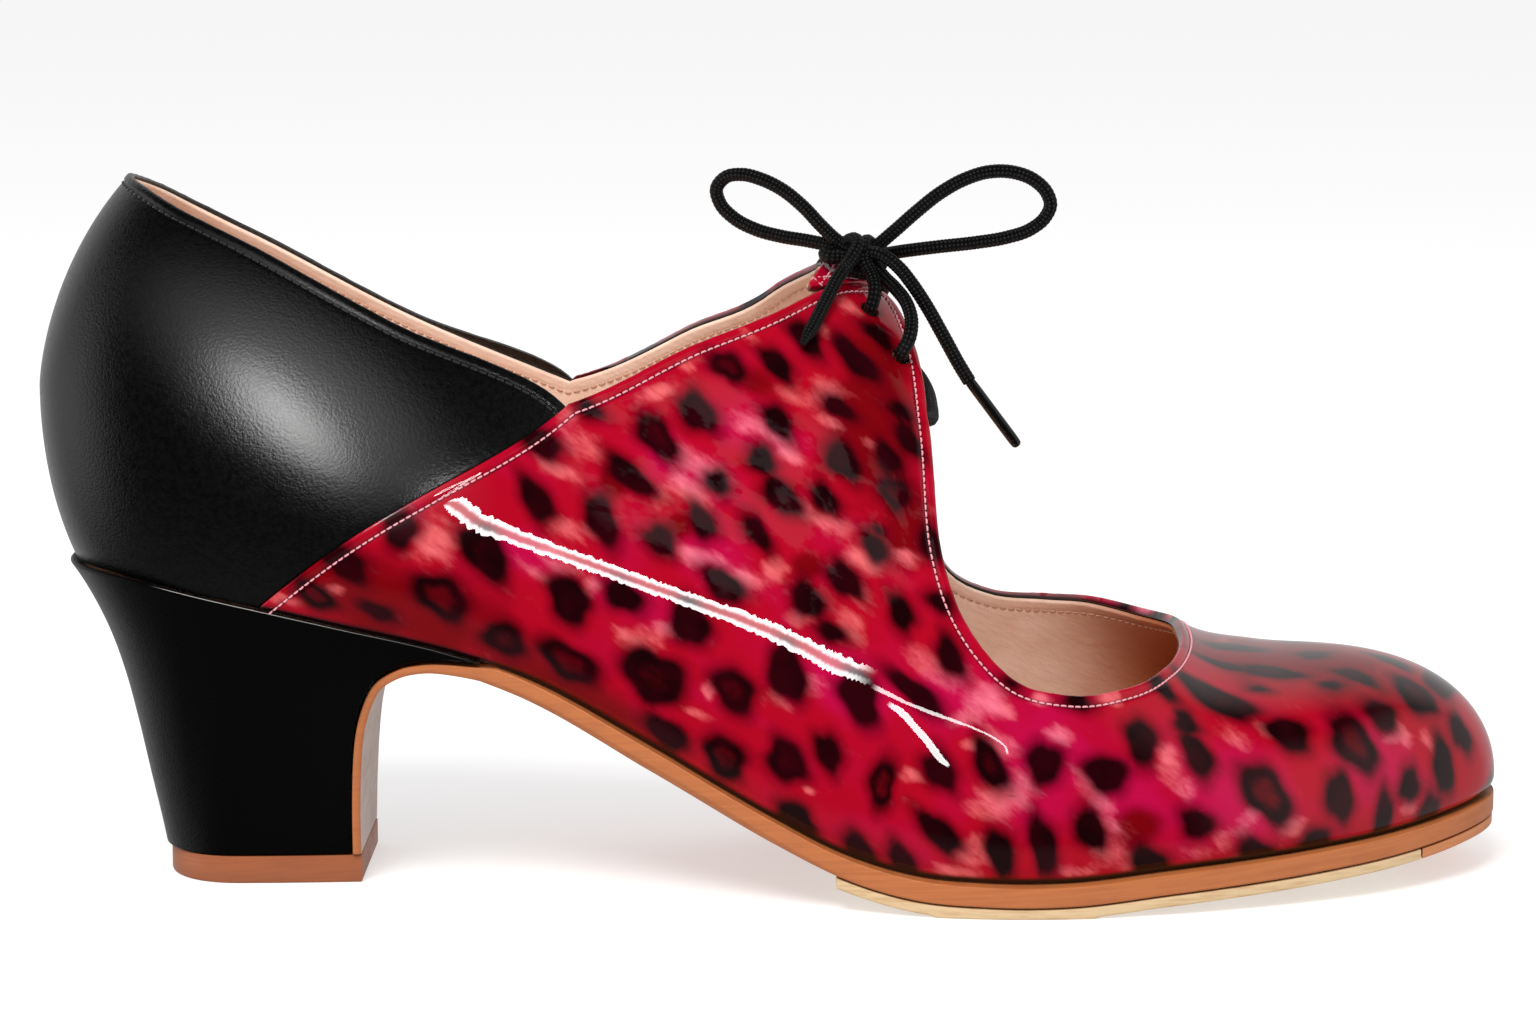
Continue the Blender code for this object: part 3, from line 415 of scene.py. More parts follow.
def ribs_of(ends, side, levels, drop=0.0):
    """Points of the last on ribs, from the feather to a drop under the top edge, and close there."""
    feet, tops, rises = ends
    foot_base, foot_turn = spot(feet)
    top_base, top_turn = spot(tops)
    foot_rises = foot_elevation(feet, side)
    low = look(foot_turn, foot_rises, side)[:, None]
    high = look(top_turn, rises, side)[:, None]
    ridge_base, ridge_share = lap_turns(top_base, rises, foot_rises)
    foot_base, top_base = foot_base[:, None], top_base[:, None]

    def points(share):
        up = np.clip(share / ridge_share, 0, 1)
        over = np.clip((share - ridge_share) / (1 - ridge_share + TINY), 0, 1)
        base = foot_base + (ridge_base - foot_base) * up + (top_base - ridge_base) * over
        return cast(base, swung(low, high, share[..., None]))

    rough = points(np.broadcast_to(np.array([1 - TOP_SHARE, 1.0]), (len(feet), 2)))
    whole = np.linalg.norm(rough[:, 1] - rough[:, 0], axis=1)[:, None] / TOP_SHARE
    near = 1 - (drop + np.array(EDGE_STEPS)[::-1]) / whole
    rest = np.linspace(0, 1, levels) * near[:, :1]
    return points(np.concatenate([rest, near[:, 1:]], 1))


def both_sides(rows, count, levels, **how):
    """Ribs of the outer and the inner side."""
    return [ribs_of(rib_ends(rows[side], side, count, **how), side, levels) for side in SIDES]


def to_frame(points):
    return (np.asarray(points, float) - BOX_MIDDLE) * MM


def to_last(points):
    return np.asarray(points, float) / MM + BOX_MIDDLE


def ease(value, start, end):
    """0 before start, 1 after end, smooth between. The start may be the larger one."""
    t = np.clip((np.asarray(value, float) - start) / (end - start), 0, 1)
    return t * t * (3 - 2 * t)


# Mesh helpers. Edges sharper than this angle are shaded as edges, where a piece states no other
SHARP_ANGLE = 50.0


def short_cut(points, face):
    """A quad from an end of its shorter diagonal, since Blender cuts it from its first corner."""
    face = tuple(int(corner) for corner in face)
    if len(face) != 4:
        return face
    a, b, c, d = points[list(face)]
    return face if np.sum((a - c) ** 2) <= np.sum((b - d) ** 2) else face[1:] + face[:1]


def add_mesh(name, points, faces, sharp=SHARP_ANGLE):
    mesh = bpy.data.meshes.new(name)
    points = np.asarray(points, float)
    mesh.from_pydata(to_frame(points).tolist(), [], [short_cut(points, face) for face in faces])
    mesh.validate()
    shape = bmesh.new()
    shape.from_mesh(mesh)
    bmesh.ops.recalc_face_normals(shape, faces=shape.faces)
    shape.to_mesh(mesh)
    shape.free()
    obj = bpy.data.objects.new(name, mesh)
    bpy.context.scene.collection.objects.link(obj)
    smooth_shade(obj, sharp)
    return obj


def smooth_shade(obj, sharp=SHARP_ANGLE):
    obj.data.shade_smooth()
    obj.data.set_sharp_from_angle(angle=math.radians(sharp))


def grid_faces(rows, columns, start=0, wrap=False):
    """Quads of a grid of points, rows by columns."""
    r = np.arange(rows if wrap else rows - 1)
    c = np.arange(columns - 1)
    r, c = np.meshgrid(r, c, indexing="ij")
    n = (r + 1) % rows
    corners = (r * columns + c, n * columns + c, n * columns + c + 1, r * columns + c + 1)
    return np.stack(corners, -1).reshape(-1, 4) + start


def shell(name, outer, inner, wrap=False):
    """A closed skin between an outer and an inner grid of the same shape."""
    rows, columns = outer.shape[:2]
    count = rows * columns
    faces = [*grid_faces(rows, columns, wrap=wrap), *grid_faces(rows, columns, count, wrap)[:, ::-1]]
    for column in (0, columns - 1):
        for row in range(rows if wrap else rows - 1):
            a, b = row * columns + column, (row + 1) % rows * columns + column
            faces.append((a, b, b + count, a + count))
    if not wrap:
        for row in (0, rows - 1):
            for column in range(columns - 1):
                a = row * columns + column
                faces.append((a, a + 1, a + 1 + count, a + count))
    points = np.concatenate([outer.reshape(-1, 3), inner.reshape(-1, 3)])
    return add_mesh(name, points, faces)


def lofted(rings):
    """A closed tube through rings of equal length, as points and faces."""
    rings = np.asarray(rings, float)
    count, around = rings.shape[:2]
    turned = np.concatenate([rings, rings[:, :1]], 1)
    faces = grid_faces(count, around + 1)
    row, column = faces // (around + 1), faces % (around + 1) % around
    faces = [*(row * around + column)]
    faces += [tuple(range(around)), tuple((count - 1) * around + k for k in range(around))]
    return turned[:, :-1].reshape(-1, 3), faces


def joined(tubes):
    """Points and faces of some tubes, as one mesh's."""
    points, faces, start = [], [], 0
    for places, quads in tubes:
        points.append(places)
        faces += [tuple(int(corner) + start for corner in quad) for quad in quads]
        start += len(places)
    return np.concatenate(points), faces


def places_of(obj):
    """The mesh's points on the last's axes."""
    points = np.empty(len(obj.data.vertices) * 3, np.float32)
    obj.data.vertices.foreach_get("co", points)
    return to_last(points.reshape(-1, 3))


def set_value(obj, name, values):
    attribute = obj.data.attributes.new(name, "FLOAT", "POINT")
    attribute.data.foreach_set("value", np.asarray(values, np.float32))


def nearest(points, line):
    """Distance from each point to a line of close points."""
    tree = KDTree(len(line))
    for index, place in enumerate(line):
        tree.insert(place, index)
    tree.balance()
    return np.array([tree.find(point)[2] for point in points])


def dense(line, step=0.15):
    """A line of points, read again at short even steps."""
    line = np.asarray(line, float)
    along = lengths_along(line)
    t = np.linspace(0, along[-1], max(2, int(along[-1] / step)))
    return np.stack([np.interp(t, along, line[:, k]) for k in range(3)], 1)


def cut_eyelets(obj):
    """Cuts the four holes, and leaves the result in the mesh."""
    cutters = []
    for number, (side, x, height, offset) in enumerate(EYELETS):
        point = cast(np.array(x), look(90.0, elevation_at(x, height, offset, side), side))
        shape = bmesh.new()
        sizes = {"radius1": EYELET_RADIUS, "radius2": EYELET_RADIUS, "depth": EYELET_CUT}
        bmesh.ops.create_cone(shape, cap_ends=True, segments=EYELET_SIDES, **sizes)
        turn = Vector((0, 0, 1)).rotation_difference(Vector(outward(point))).to_matrix().to_4x4()
        place = Matrix.Translation(to_frame(point)) @ turn @ Matrix.Diagonal((MM, MM, MM, 1))
        bmesh.ops.transform(shape, matrix=place, verts=shape.verts)
        mesh = bpy.data.meshes.new(f"cutter_{number}")
        shape.to_mesh(mesh)
        shape.free()
        cutter = bpy.data.objects.new(mesh.name, mesh)
        bpy.context.scene.collection.objects.link(cutter)
        cutters.append(cutter)
        cut = obj.modifiers.new(cutter.name, "BOOLEAN")
        cut.operation, cut.object, cut.solver = "DIFFERENCE", cutter, "MANIFOLD"
    graph = bpy.context.evaluated_depsgraph_get()
    obj.data = bpy.data.meshes.new_from_object(obj.evaluated_get(graph))
    obj.modifiers.clear()
    for cutter in cutters:
        bpy.data.objects.remove(cutter)


# Photograph's rays


def photo_ray(px, py):
    """Where the camera looks through a pixel, as a unit way."""
    across, up = (px - PHOTO_WIDTH / 2) / FOCAL_PIXELS, (PHOTO_HEIGHT / 2 - py) / FOCAL_PIXELS
    cos, sin = math.cos(CAMERA_PITCH), math.sin(CAMERA_PITCH)
    way = np.array([across, cos + up * sin, up * cos - sin])
    return way / np.linalg.norm(way)


class Skin:
    """The upper's surface, as the camera of the photograph sees it."""

    def __init__(self, *grids):
        points, faces = [], []
        for grid in grids:
            faces += (grid_faces(*grid.shape[:2]) + sum(len(p) for p in points)).tolist()
            points.append(grid.reshape(-1, 3))
        self.tree = BVHTree.FromPolygons(np.concatenate(points).tolist(), faces)

    def hit(self, px, py):
        """The surface's point at a pixel and its outward way, or None."""
        found = self.tree.ray_cast(Vector(CAMERA_PLACE), Vector(photo_ray(px, py)))
        if found[0] is None:
            return None
        point = np.array(found[0])
        return point, outward(point)

    def patch(self, px, py, half_long, half_wide, tilt):
        """Middle, outward way and the two half axes of an ellipse of pixels, laid on the surface."""
        found = self.hit(px, py)
        if found is None:
            return None
        middle, way = found
        cos, sin = math.cos(math.radians(tilt)), math.sin(math.radians(tilt))
        axes = []
        for length, u, v in ((half_long, cos, sin), (half_wide, -sin, cos)):
            ray = photo_ray(px + length * u, py + length * v)
            reach = (middle - CAMERA_PLACE) @ way / min(ray @ way, -PATCH_FACING)
            axis = CAMERA_PLACE + reach * ray - middle
            axes.append(axis - way * (axis @ way))
        return middle, way, *axes


# Materials: colours as sRGB values that give the photograph's tones in this light


def colour(red, green, blue):
    """A linear colour from sRGB values of 0 to 255."""
    shares = np.array([red, green, blue]) / 255
    linear = np.where(shares <= 0.04045, shares / 12.92, ((shares + 0.055) / 1.055) ** 2.4)
    return (*linear.tolist(), 1.0)


CRIMSON, MAGENTA, DEEP_RED = colour(158, 5, 29), colour(172, 8, 62), colour(108, 2, 9)
SALMON, PINK = colour(222, 102, 104), colour(226, 112, 136)
HALO, SPOT_BLACK, SPOT_RED = colour(80, 0, 12), colour(20, 1, 3), colour(38, 1, 6)
# On this line the groove colour is painted shade along the stitch groove, and the cut-edge black is both the
# cut edges' black paint and painted shade where the vamp meets the sole
HEART_RED, GROOVE_PAINTED_SHADE_RED, CUT_BLACK_AND_FEATHER_SHADE = colour(92, 2, 12), colour(40, 1, 8), colour(16, 5, 7)
# The last of these nude colours is painted shade for the lining inside the toe
NUDE, NUDE_DARK, NUDE_PAINTED_SHADE = colour(246, 216, 196), colour(236, 198, 174), colour(158, 84, 42)
TAN, TAN_DARK, TAN_LIGHT = colour(180, 106, 59), colour(156, 84, 45), colour(196, 126, 80)
FLAP_BROWN, FLAP_DARK = colour(188, 174, 166), colour(160, 142, 132)
LIFT_BROWN, LIFT_DARK = colour(154, 88, 54), colour(136, 72, 42)
CREAM, CREAM_DARK = colour(206, 178, 138), colour(186, 150, 108)
# The rim grey is a painted highlight, a light line along the heel's top edge
LEATHER_BLACK, LEATHER_GREY, RIM_PAINTED_HIGHLIGHT = colour(4, 4, 4), colour(9, 9, 9), colour(176, 176, 172)
THREAD_PINK, THREAD_BLACK, THREAD_NUDE = colour(226, 150, 160), colour(12, 12, 13), colour(196, 150, 124)
# The lace grey is a painted highlight on the braid's raised lumps
LACE_BLACK, LACE_PAINTED_HIGHLIGHT = colour(6, 6, 6), colour(46, 46, 46)
PRINT_LEAN = 38.0


class Nodes:
    """The nodes of a material or a world, with short calls for new ones."""

    def __init__(self, owner):
        owner.use_nodes = True
        self.tree = owner.node_tree

    def give(self, socket, value):
        """Gives a socket a value or a node's output."""
        if isinstance(value, bpy.types.NodeSocket):
            self.tree.links.new(value, socket)
        else:
            socket.default_value = value

    def node(self, kind, inputs=(), **settings):
        """A new node with its settings, and its inputs in order."""
        made = self.tree.nodes.new(kind)
        for name, value in settings.items():
            setattr(made, name, value)
        for socket, value in zip(made.inputs, inputs):
            if value is not None:
                self.give(socket, value)
        return made

    def span(self, value, start, end, low=0.0, high=1.0):
        """Goes smoothly from low to high as a value goes from start to end."""
        inputs = (value, start, end, low, high)
        return self.node("ShaderNodeMapRange", inputs, interpolation_type="SMOOTHSTEP").outputs[0]

    def math(self, operation, one, other):
        return self.node("ShaderNodeMath", (one, other), operation=operation).outputs[0]


class Look(Nodes):
    """A material's nodes, with a short call for each kind that the looks use. Sizes are millimetres."""

    def __init__(self, name, shade, roughness, **sockets):
        self.material = bpy.data.materials.new(name)
        super().__init__(self.material)
        self.shader = self.tree.nodes["Principled BSDF"]
        self.feed("Base Color", shade)
        self.feed("Roughness", roughness)
        for socket, value in sockets.items():
            self.feed(socket.replace("_", " "), value)
        self.places = self.node("ShaderNodeTexCoord").outputs["Object"]

    def feed(self, socket, value):
        """Gives one of the shader's sockets a value or a node's output."""
        self.give(self.shader.inputs[socket], value)

    def value(self, name):
        """A number kept on the mesh's points."""
        return self.node("ShaderNodeAttribute", attribute_name=name).outputs["Fac"]

    def mapped(self, size, turn=0.0):
        """Places in units of a size along each axis, with the axes turned about Y by so many degrees."""
        rotation = (0.0, math.radians(turn), 0.0)
        scale = tuple(MM * length for length in size)
        inputs = (self.places, None, rotation, scale)
        return self.node("ShaderNodeMapping", inputs, vector_type="TEXTURE").outputs[0]

    def noise(self, size, turn=0.0, detail=3.0, rough=0.55):
        inputs = (self.mapped(size, turn), None, 1.0, detail, rough)
        return self.node("ShaderNodeTexNoise", inputs).outputs[0]

    def cells(self, size):
        return self.node("ShaderNodeTexVoronoi", (self.mapped(size), None, 1.0)).outputs["Distance"]

    def nudged(self, value, noise, amount):
        """A value moved up and down by a noise, by at most half the amount each way."""
        inputs = (noise, amount, -amount / 2)
        swing = self.node("ShaderNodeMath", inputs, operation="MULTIPLY_ADD").outputs[0]
        return self.math("ADD", value, swing)

    def mix(self, share, shade, other):
        mixed = self.node("ShaderNodeMix", data_type="RGBA")
        self.give(mixed.inputs["Factor"], share)
        for socket, value in zip((s for s in mixed.inputs if s.type == "RGBA"), (shade, other)):
            self.give(socket, value)
        return next(s for s in mixed.outputs if s.type == "RGBA")

    def bump(self, height, depth, socket="Normal", under=None):
        """Relief of so many millimetres from a height of 0 to 1."""
        made = self.node("ShaderNodeBump")
        made.inputs["Strength"].default_value = 1.0
        made.inputs["Distance"].default_value = depth * MM
        self.give(made.inputs["Height"], height)
        if under is not None:
            self.give(made.inputs["Normal"], under)
        self.feed(socket, made.outputs[0])
        return made.outputs[0]


def printed_patent():
    coat = {"Coat_Weight": 1.0, "Coat_Roughness": 0.012}
    look = Look("printed_patent", CRIMSON, roughness=0.4, Specular_IOR_Level=0.0, **coat)
    names = ("spot", "heart", "salmon", "magenta", "deep", "paint", "low", "groove")
    values = {name: look.value(name) for name in names}
    streak = look.noise((8.0, 8.0, 3.0), turn=PRINT_LEAN, detail=4.0)
    cloud = look.noise((11.0, 11.0, 7.0), turn=PRINT_LEAN, detail=2.0)
    fibre = look.noise((1.8, 1.8, 0.4), turn=PRINT_LEAN, detail=2.0)
    fray = look.noise((2.4, 2.4, 1.4), turn=PRINT_LEAN, detail=2.0)
    pinkness = look.span(look.nudged(values["magenta"], cloud, 2.0), -0.2, 1.2)
    shade = look.mix(pinkness, CRIMSON, MAGENTA)
    shade = look.mix(look.span(look.nudged(values["deep"], cloud, 1.2), 0.1, 1.0), shade, DEEP_RED)
    pale = look.nudged(look.nudged(values["salmon"], streak, 2.6), fibre, 0.3)
    shade = look.mix(look.span(pale, 0.3, 1.5, 0.0, 0.88), shade, look.mix(pinkness, SALMON, PINK))
    near = look.span(look.nudged(values["spot"], streak, 1.6), -2.4, 0.2, 0.0, 0.6)
    shade = look.mix(near, shade, HALO)
    inside = look.span(look.nudged(values["spot"], fray, 0.5), -0.7, 1.05)
    shade = look.mix(inside, shade, look.mix(look.span(cloud, 0.35, 0.65), SPOT_BLACK, SPOT_RED))
    shade = look.mix(look.span(look.nudged(values["heart"], fray, 0.4), 0.1, 0.9), shade, HEART_RED)
    # Painted shade: the print darkens along the stitch groove
    shade = look.mix(look.span(values["groove"], 0.0, 1.0, 0.0, 0.75), shade, GROOVE_PAINTED_SHADE_RED)
    # Painted shade: the print turns black in its lowest millimetre, where the vamp meets the sole
    shade = look.mix(values["low"], shade, CUT_BLACK_AND_FEATHER_SHADE)
    shade = look.mix(values["paint"], shade, CUT_BLACK_AND_FEATHER_SHADE)
    look.feed("Base Color", shade)
    look.bump(look.noise((0.35, 0.35, 0.35), detail=2.0), 0.01)
    ripple = look.bump(look.noise((9.0, 9.0, 7.0), detail=1.0), 0.006, "Coat Normal")
    look.bump(look.noise((2.0, 2.0, 2.0), detail=2.0), 0.005, "Coat Normal", under=ripple)
    return look.material


def black_leather(name, roughness, grain, light, shine):
    """Black leather, with a painted highlight as a light line where the mesh has a rim. Light is the grain's
    share of grey.
    """
    look = Look(name, LEATHER_BLACK, roughness, Specular_IOR_Level=shine)
    patch = look.noise((0.9, 0.9, 0.9), detail=3.0)
    pores = look.noise((grain, grain, grain), detail=3.0, rough=0.6)
    shade = look.mix(look.span(patch, 0.3, 0.7, 0.0, light), LEATHER_BLACK, LEATHER_GREY)
    # Painted highlight: light grey where the mesh has a rim
    look.feed("Base Color", look.mix(look.span(look.value("rim"), 0.55, 0.95), shade, RIM_PAINTED_HIGHLIGHT))
    look.feed("Roughness", look.span(patch, 0.25, 0.75, roughness - 0.03, roughness + 0.03))
    relief = look.bump(look.span(pores, 0.3, 0.7), 0.034)
    look.bump(look.noise((0.25, 0.25, 0.25), detail=2.0), 0.018, under=relief)
    return look.material


def nude_leather():
    """Lining leather, with painted shade that turns it darker brown towards the toe."""
    look = Look("nude_lining", NUDE, roughness=0.55, Specular_IOR_Level=0.35)
    patch = look.noise((9.0, 9.0, 6.0), detail=4.0)
    shade = look.mix(look.span(patch, 0.35, 0.75), NUDE, NUDE_DARK)
    # Painted shade: the lining darkens to brown towards the toe box
    look.feed("Base Color", look.mix(look.value("toe"), shade, NUDE_PAINTED_SHADE))
    relief = look.bump(look.cells((0.7, 0.7, 0.7)), 0.02)
    look.bump(look.noise((3.0, 3.0, 0.9), turn=25.0, detail=4.0), 0.14, under=relief)
    return look.material


def sole_leather(name, light, dark, gloss):
    look = Look(name, light, gloss, Specular_IOR_Level=0.4)
    layers = look.noise((14.0, 14.0, 0.5), turn=-4.0, detail=3.0)
    patch = look.noise((7.0, 7.0, 3.0), detail=4.0)
    shade = look.mix(look.span(layers, 0.35, 0.75, 0.0, 0.45), light, dark)
    look.feed("Base Color", look.mix(look.span(patch, 0.45, 0.8, 0.0, 0.35), shade, dark))
    look.feed("Roughness", look.span(patch, 0.2, 0.8, gloss - 0.06, gloss + 0.1))
    look.bump(look.noise((0.5, 0.5, 0.3)), 0.02)
    return look.material


def pale_rubber():
    look = Look("pale_rubber_sole", CREAM, roughness=0.6)
    patch = look.noise((6.0, 6.0, 0.8), detail=4.0)
    look.feed("Base Color", look.mix(look.span(patch, 0.4, 0.8), CREAM, CREAM_DARK))
    look.bump(look.noise((0.4, 0.4, 0.4)), 0.03)
    return look.material


def thread(name, shade):
    look = Look(name, shade, roughness=0.6, Sheen_Weight=0.3)
    look.bump(look.noise((0.12, 0.12, 0.12)), 0.02)
    return look.material


def lace_braid():
    look = Look("lace_braid", LACE_BLACK, roughness=0.6, Specular_IOR_Level=0.35)
    lumps = look.span(look.value("lumps"), -0.6, 0.8)
    hairs = look.noise((0.3, 0.3, 0.3), detail=4.0, rough=0.7)
    # Painted highlight: grey on the braid's raised lumps, broken up by the hairs
    lump_highlight = look.span(look.nudged(lumps, hairs, 1.6), 0.55, 1.25)
    look.feed("Base Color", look.mix(lump_highlight, LACE_BLACK, LACE_PAINTED_HIGHLIGHT))
    look.bump(hairs, 0.03)
    return look.material


def aglet_plastic():
    look = Look("aglet_plastic", LACE_BLACK, roughness=0.22, Coat_Weight=0.5, Coat_Roughness=0.1)
    look.bump(look.noise((1.2, 1.2, 1.2)), 0.02)
    return look.material


def dress(obj, material, slot, *nodes):
    """Gives a piece its material and body, and hides the solids that it stands for. The slot is not used."""
    obj.data.materials.clear()
    obj.data.materials.append(material)
    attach(obj, "root")
    if nodes:
        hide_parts(*nodes)
    return obj


# Camera


def add_camera():
    data = bpy.data.cameras.new("camera")
    data.sensor_width = SENSOR_WIDTH
    data.lens = SENSOR_WIDTH * FOCAL_PIXELS / PHOTO_WIDTH
    data.clip_start, data.clip_end = CAMERA_CLIP
    camera = bpy.data.objects.new("camera", data)
    camera.location = to_frame(CAMERA_PLACE)
    camera.rotation_euler = (math.pi / 2 - CAMERA_PITCH, 0.0, 0.0)
    bpy.context.scene.collection.objects.link(camera)
    bpy.context.scene.camera = camera


add_camera()

# Lace, close to the routes of its solids

LACE = 2.2
BRAID_SIDES, BRAID_STEP, BRAID_LUMPS, BRAID_PITCH, BRAID_DEPTH = 36, 0.16, 5, 1.3, 0.06
BRAID_SHARP, START_ACROSS = 80.0, (0.36, 0.48, 0.8)
TIP_LENGTH, TIP_SIZE = 3.2, 0.55


def seen(*rows):
    """Places that the camera sees at pixels, each at a depth: rows of x, y and the depth."""
    places = []
    for px, py, depth in rows:
        ray = photo_ray(px, py)
        places.append(tuple(CAMERA_PLACE + ray * (depth - CAMERA_PLACE[1]) / ray[1]))
    return tuple(places)


LOOP_BACK = seen(
    (855, 251, -4.0),
    (846, 246.5, -3.2),
    (834, 238, -2.4),
    (822, 226.5, -1.7),
    (802, 205.5, 0.0),
    (782, 189.5, 1.4),
    (762, 179.5, 2.6),
    (742, 174.5, 3.8),
    (726, 177, 4.8),
    (716.5, 189, 5.5),
    (720, 203, 5.5),
    (734, 218, 4.6),
    (756, 229.5, 3.4),
    (782, 236.5, 1.8),
    (808, 240.8, 0.2),
    (830, 245.5, -1.4),
    (847, 250.5, -3.0),
)
END_NEAR = seen(
    (856, 254, -4.6),
    (858, 256, -6.6),
    (854, 258.5, -8.0),
    (848, 264, -8.8),
    (839, 276, -10.2),
    (827, 298.5, -13.6),
    (814, 324, -18.0),
    (803, 343, -21.2),
)
LOOP_FRONT = seen(
    (862, 252, -4.0),
    (875, 246.5, -3.6),
    (892, 233, -3.8),
    (916, 212, -4.2),
    (940, 193, -4.6),
    (964, 179.5, -5.0),
    (988, 172, -5.4),
    (1012, 172, -5.7),
    (1034, 180, -5.8),
    (1047, 193, -5.8),
    (1050.5, 205, -5.7),
    (1045, 217.5, -5.5),
    (1030, 229.5, -5.2),
    (1006, 237.5, -4.8),
    (976, 242.5, -4.5),
    (940, 246.5, -4.2),
    (904, 251, -2.2),
    (888, 253.5, -0.2),
)
END_FRONT = seen(
    (874, 256, 1.4),
    (862, 258, 1.7),
    (852, 258.5, 0.4),
    (848, 258, -1.9),
    (851, 256.5, -4.1),
    (860, 254, -5.8),
    (870, 252.7, -6.8),
    (879, 254, -7.5),
    (888, 258.5, -8.2),
    (899, 267.7, -9.0),
    (911.4, 283, -10.2),
    (925.4, 304, -11.4),
    (943.7, 336.4, -12.2),
    (960, 366, -12.5),
    (969.5, 381.5, -12.5),
)
AGLET_RADIUS, AGLET_SIDES, AGLET_STEP, AGLET_ROUND, AGLET_END = 0.9, 20, 0.35, 9.0, 0.55
AGLET_FRONT = seen((968, 379, -12.5), (1018, 446, -12.5))

# Strands between the knot and the eyelets, then through each hole and along the inside in millimetres
STRANDS = (
    seen(
        (865, 243, -4.4),
        (864.5, 252, -6.4),
        (865, 262, -7.2),
        (869, 270, -7.8),
        (874, 281, -9.2),
        (875, 293, -10.6),
        (872, 305, -10.6),
    )
    + ((16.4, -8.6, 93.9), (15.3, -7.2, 92.3), (13.8, -6.0, 91.0)),
    seen(
        (872, 262, -4.6),
        (884, 277, -7.0),
        (896, 289, -10.0),
        (907, 304, -13.0),
        (911.5, 321, -15.2),
        (909, 339, -16.8),
        (902, 352, -16.2),
    )
    + (
        (21.6, -14.0, 86.9),
        (20.6, -12.2, 85.2),
        (21.5, -14.3, 81.6),
        (24.0, -16.0, 77.8),
        (26.2, -12.6, 76.6),
        (26.9, -4.5, 78.0),
        (25.4, 5.0, 81.6),
        (20.5, 10.5, 87.0),
        (17.5, 12.7, 91.0),
        (18.2, 15.0, 92.6),
        (19.2, 14.4, 95.0),
        (18.9, 9.6, 98.4),
        (17.6, 3.4, 100.6),
        (15.8, -1.6, 101.8),
    ),
    (
        (14.6, -2.2, 102.2),
        (14.0, 1.8, 102.6),
        (12.6, 5.2, 102.6),
        (11.0, 6.8, 101.6),
        (10.5, 5.4, 99.7),
        (10.0, 4.0, 98.0),
        (8.6, 2.8, 96.6),
    ),
)

# Knot: the two turns over the bow, and the turns that pass under them
KNOT_TURNS = (
    seen(
        (847, 262, -4.5),
        (842, 253, -2.8),
        (846, 243, -3.0),
        (854.5, 239, -4.8),
        (858.5, 245, -6.8),
        (855.5, 252, -7.8),
        (849, 262, -8.7),
        (842, 272, -9.6),
    ),
    seen(
        (868, 260, -2.0),
        (873, 252, -2.0),
        (870, 243, -2.6),
        (866, 241.5, -4.4),
        (864.5, 250, -6.2),
        (865, 262, -7.0),
    ),
    seen(
        (848, 250, -1.5),
        (835, 251.5, -2.6),
        (825, 253.5, -4.0),
        (828, 257, -5.4),
        (840, 257.5, -5.8),
        (856, 259, -5.4),
        (872, 258, -4.6),
    ),
    seen((850, 248, -2.8), (862, 248, -3.0), (872, 247, -2.8), (880, 252, -2.4)),
    seen((846, 258, -4.2), (858, 264, -4.8), (872, 265, -4.8), (884, 272, -5.0)),
    seen((846, 268, -5.0), (858, 272, -5.6), (868, 274, -5.8)),
)


def route(points, spacing):
    """A smooth curve through the points, read at even steps."""
    points = np.asarray(points, float)
    along = lengths_along(points)
    count = max(4, int(round(along[-1] / spacing)) + 1)
    t = np.linspace(0, along[-1], count)
    return np.stack([smooth(along, points[:, k])(t) for k in range(3)], 1)


def length_of(points):
    return float(np.linalg.norm(np.diff(points, axis=0), axis=1).sum())


def tube_rings(line, radii, sides):
    """Rings round a line, with a radius for each ring and side."""
    ahead = heading(line)
    turns = np.arange(sides) * 2 * math.pi / sides
    across = np.cross(ahead[0], START_ACROSS)
    rings = []
    for place, way, radius in zip(line, ahead, radii):
        across = across - way * (across @ way)
        across /= np.linalg.norm(across)
        other = np.cross(way, across)
        u, v = radius * np.cos(turns), radius * np.sin(turns)
        rings.append(place + u[:, None] * across + v[:, None] * other)
    return np.array(rings)


def braid_tube(points, tip=False):
    """Rings of a braided cord, and how far each point stands up in the braid."""
    line = route(points, BRAID_STEP)
    along = np.arange(len(line))[:, None] * BRAID_STEP * 2 * math.pi / BRAID_PITCH
    turns = np.arange(BRAID_SIDES)[None] * 2 * math.pi / BRAID_SIDES * BRAID_LUMPS
    lumps = np.cos(turns + along) * np.cos(turns - along)
    radii = LACE / 2 * (1 + BRAID_DEPTH * lumps)
    if tip:
        left = (len(line) - 1 - np.arange(len(line)))[:, None] * BRAID_STEP
        radii = radii * (TIP_SIZE + (1 - TIP_SIZE) * ease(left, 0.0, TIP_LENGTH))
    return tube_rings(line, radii, BRAID_SIDES), lumps


def add_braid(name, routes, tip=False):
    """One mesh of braided cords along some routes."""
    tubes, lumps = [], []
    for points in routes:
        rings, heights = braid_tube(points, tip)
        tubes.append(lofted(rings))
        lumps.append(heights.ravel())
    obj = add_mesh(name, *joined(tubes), sharp=BRAID_SHARP)
    set_value(obj, "lumps", np.concatenate(lumps))
    return obj


def declare_cord(points):
    path = to_frame(route(points, LACE))
    length_of(to_frame(route(points, BRAID_STEP)))


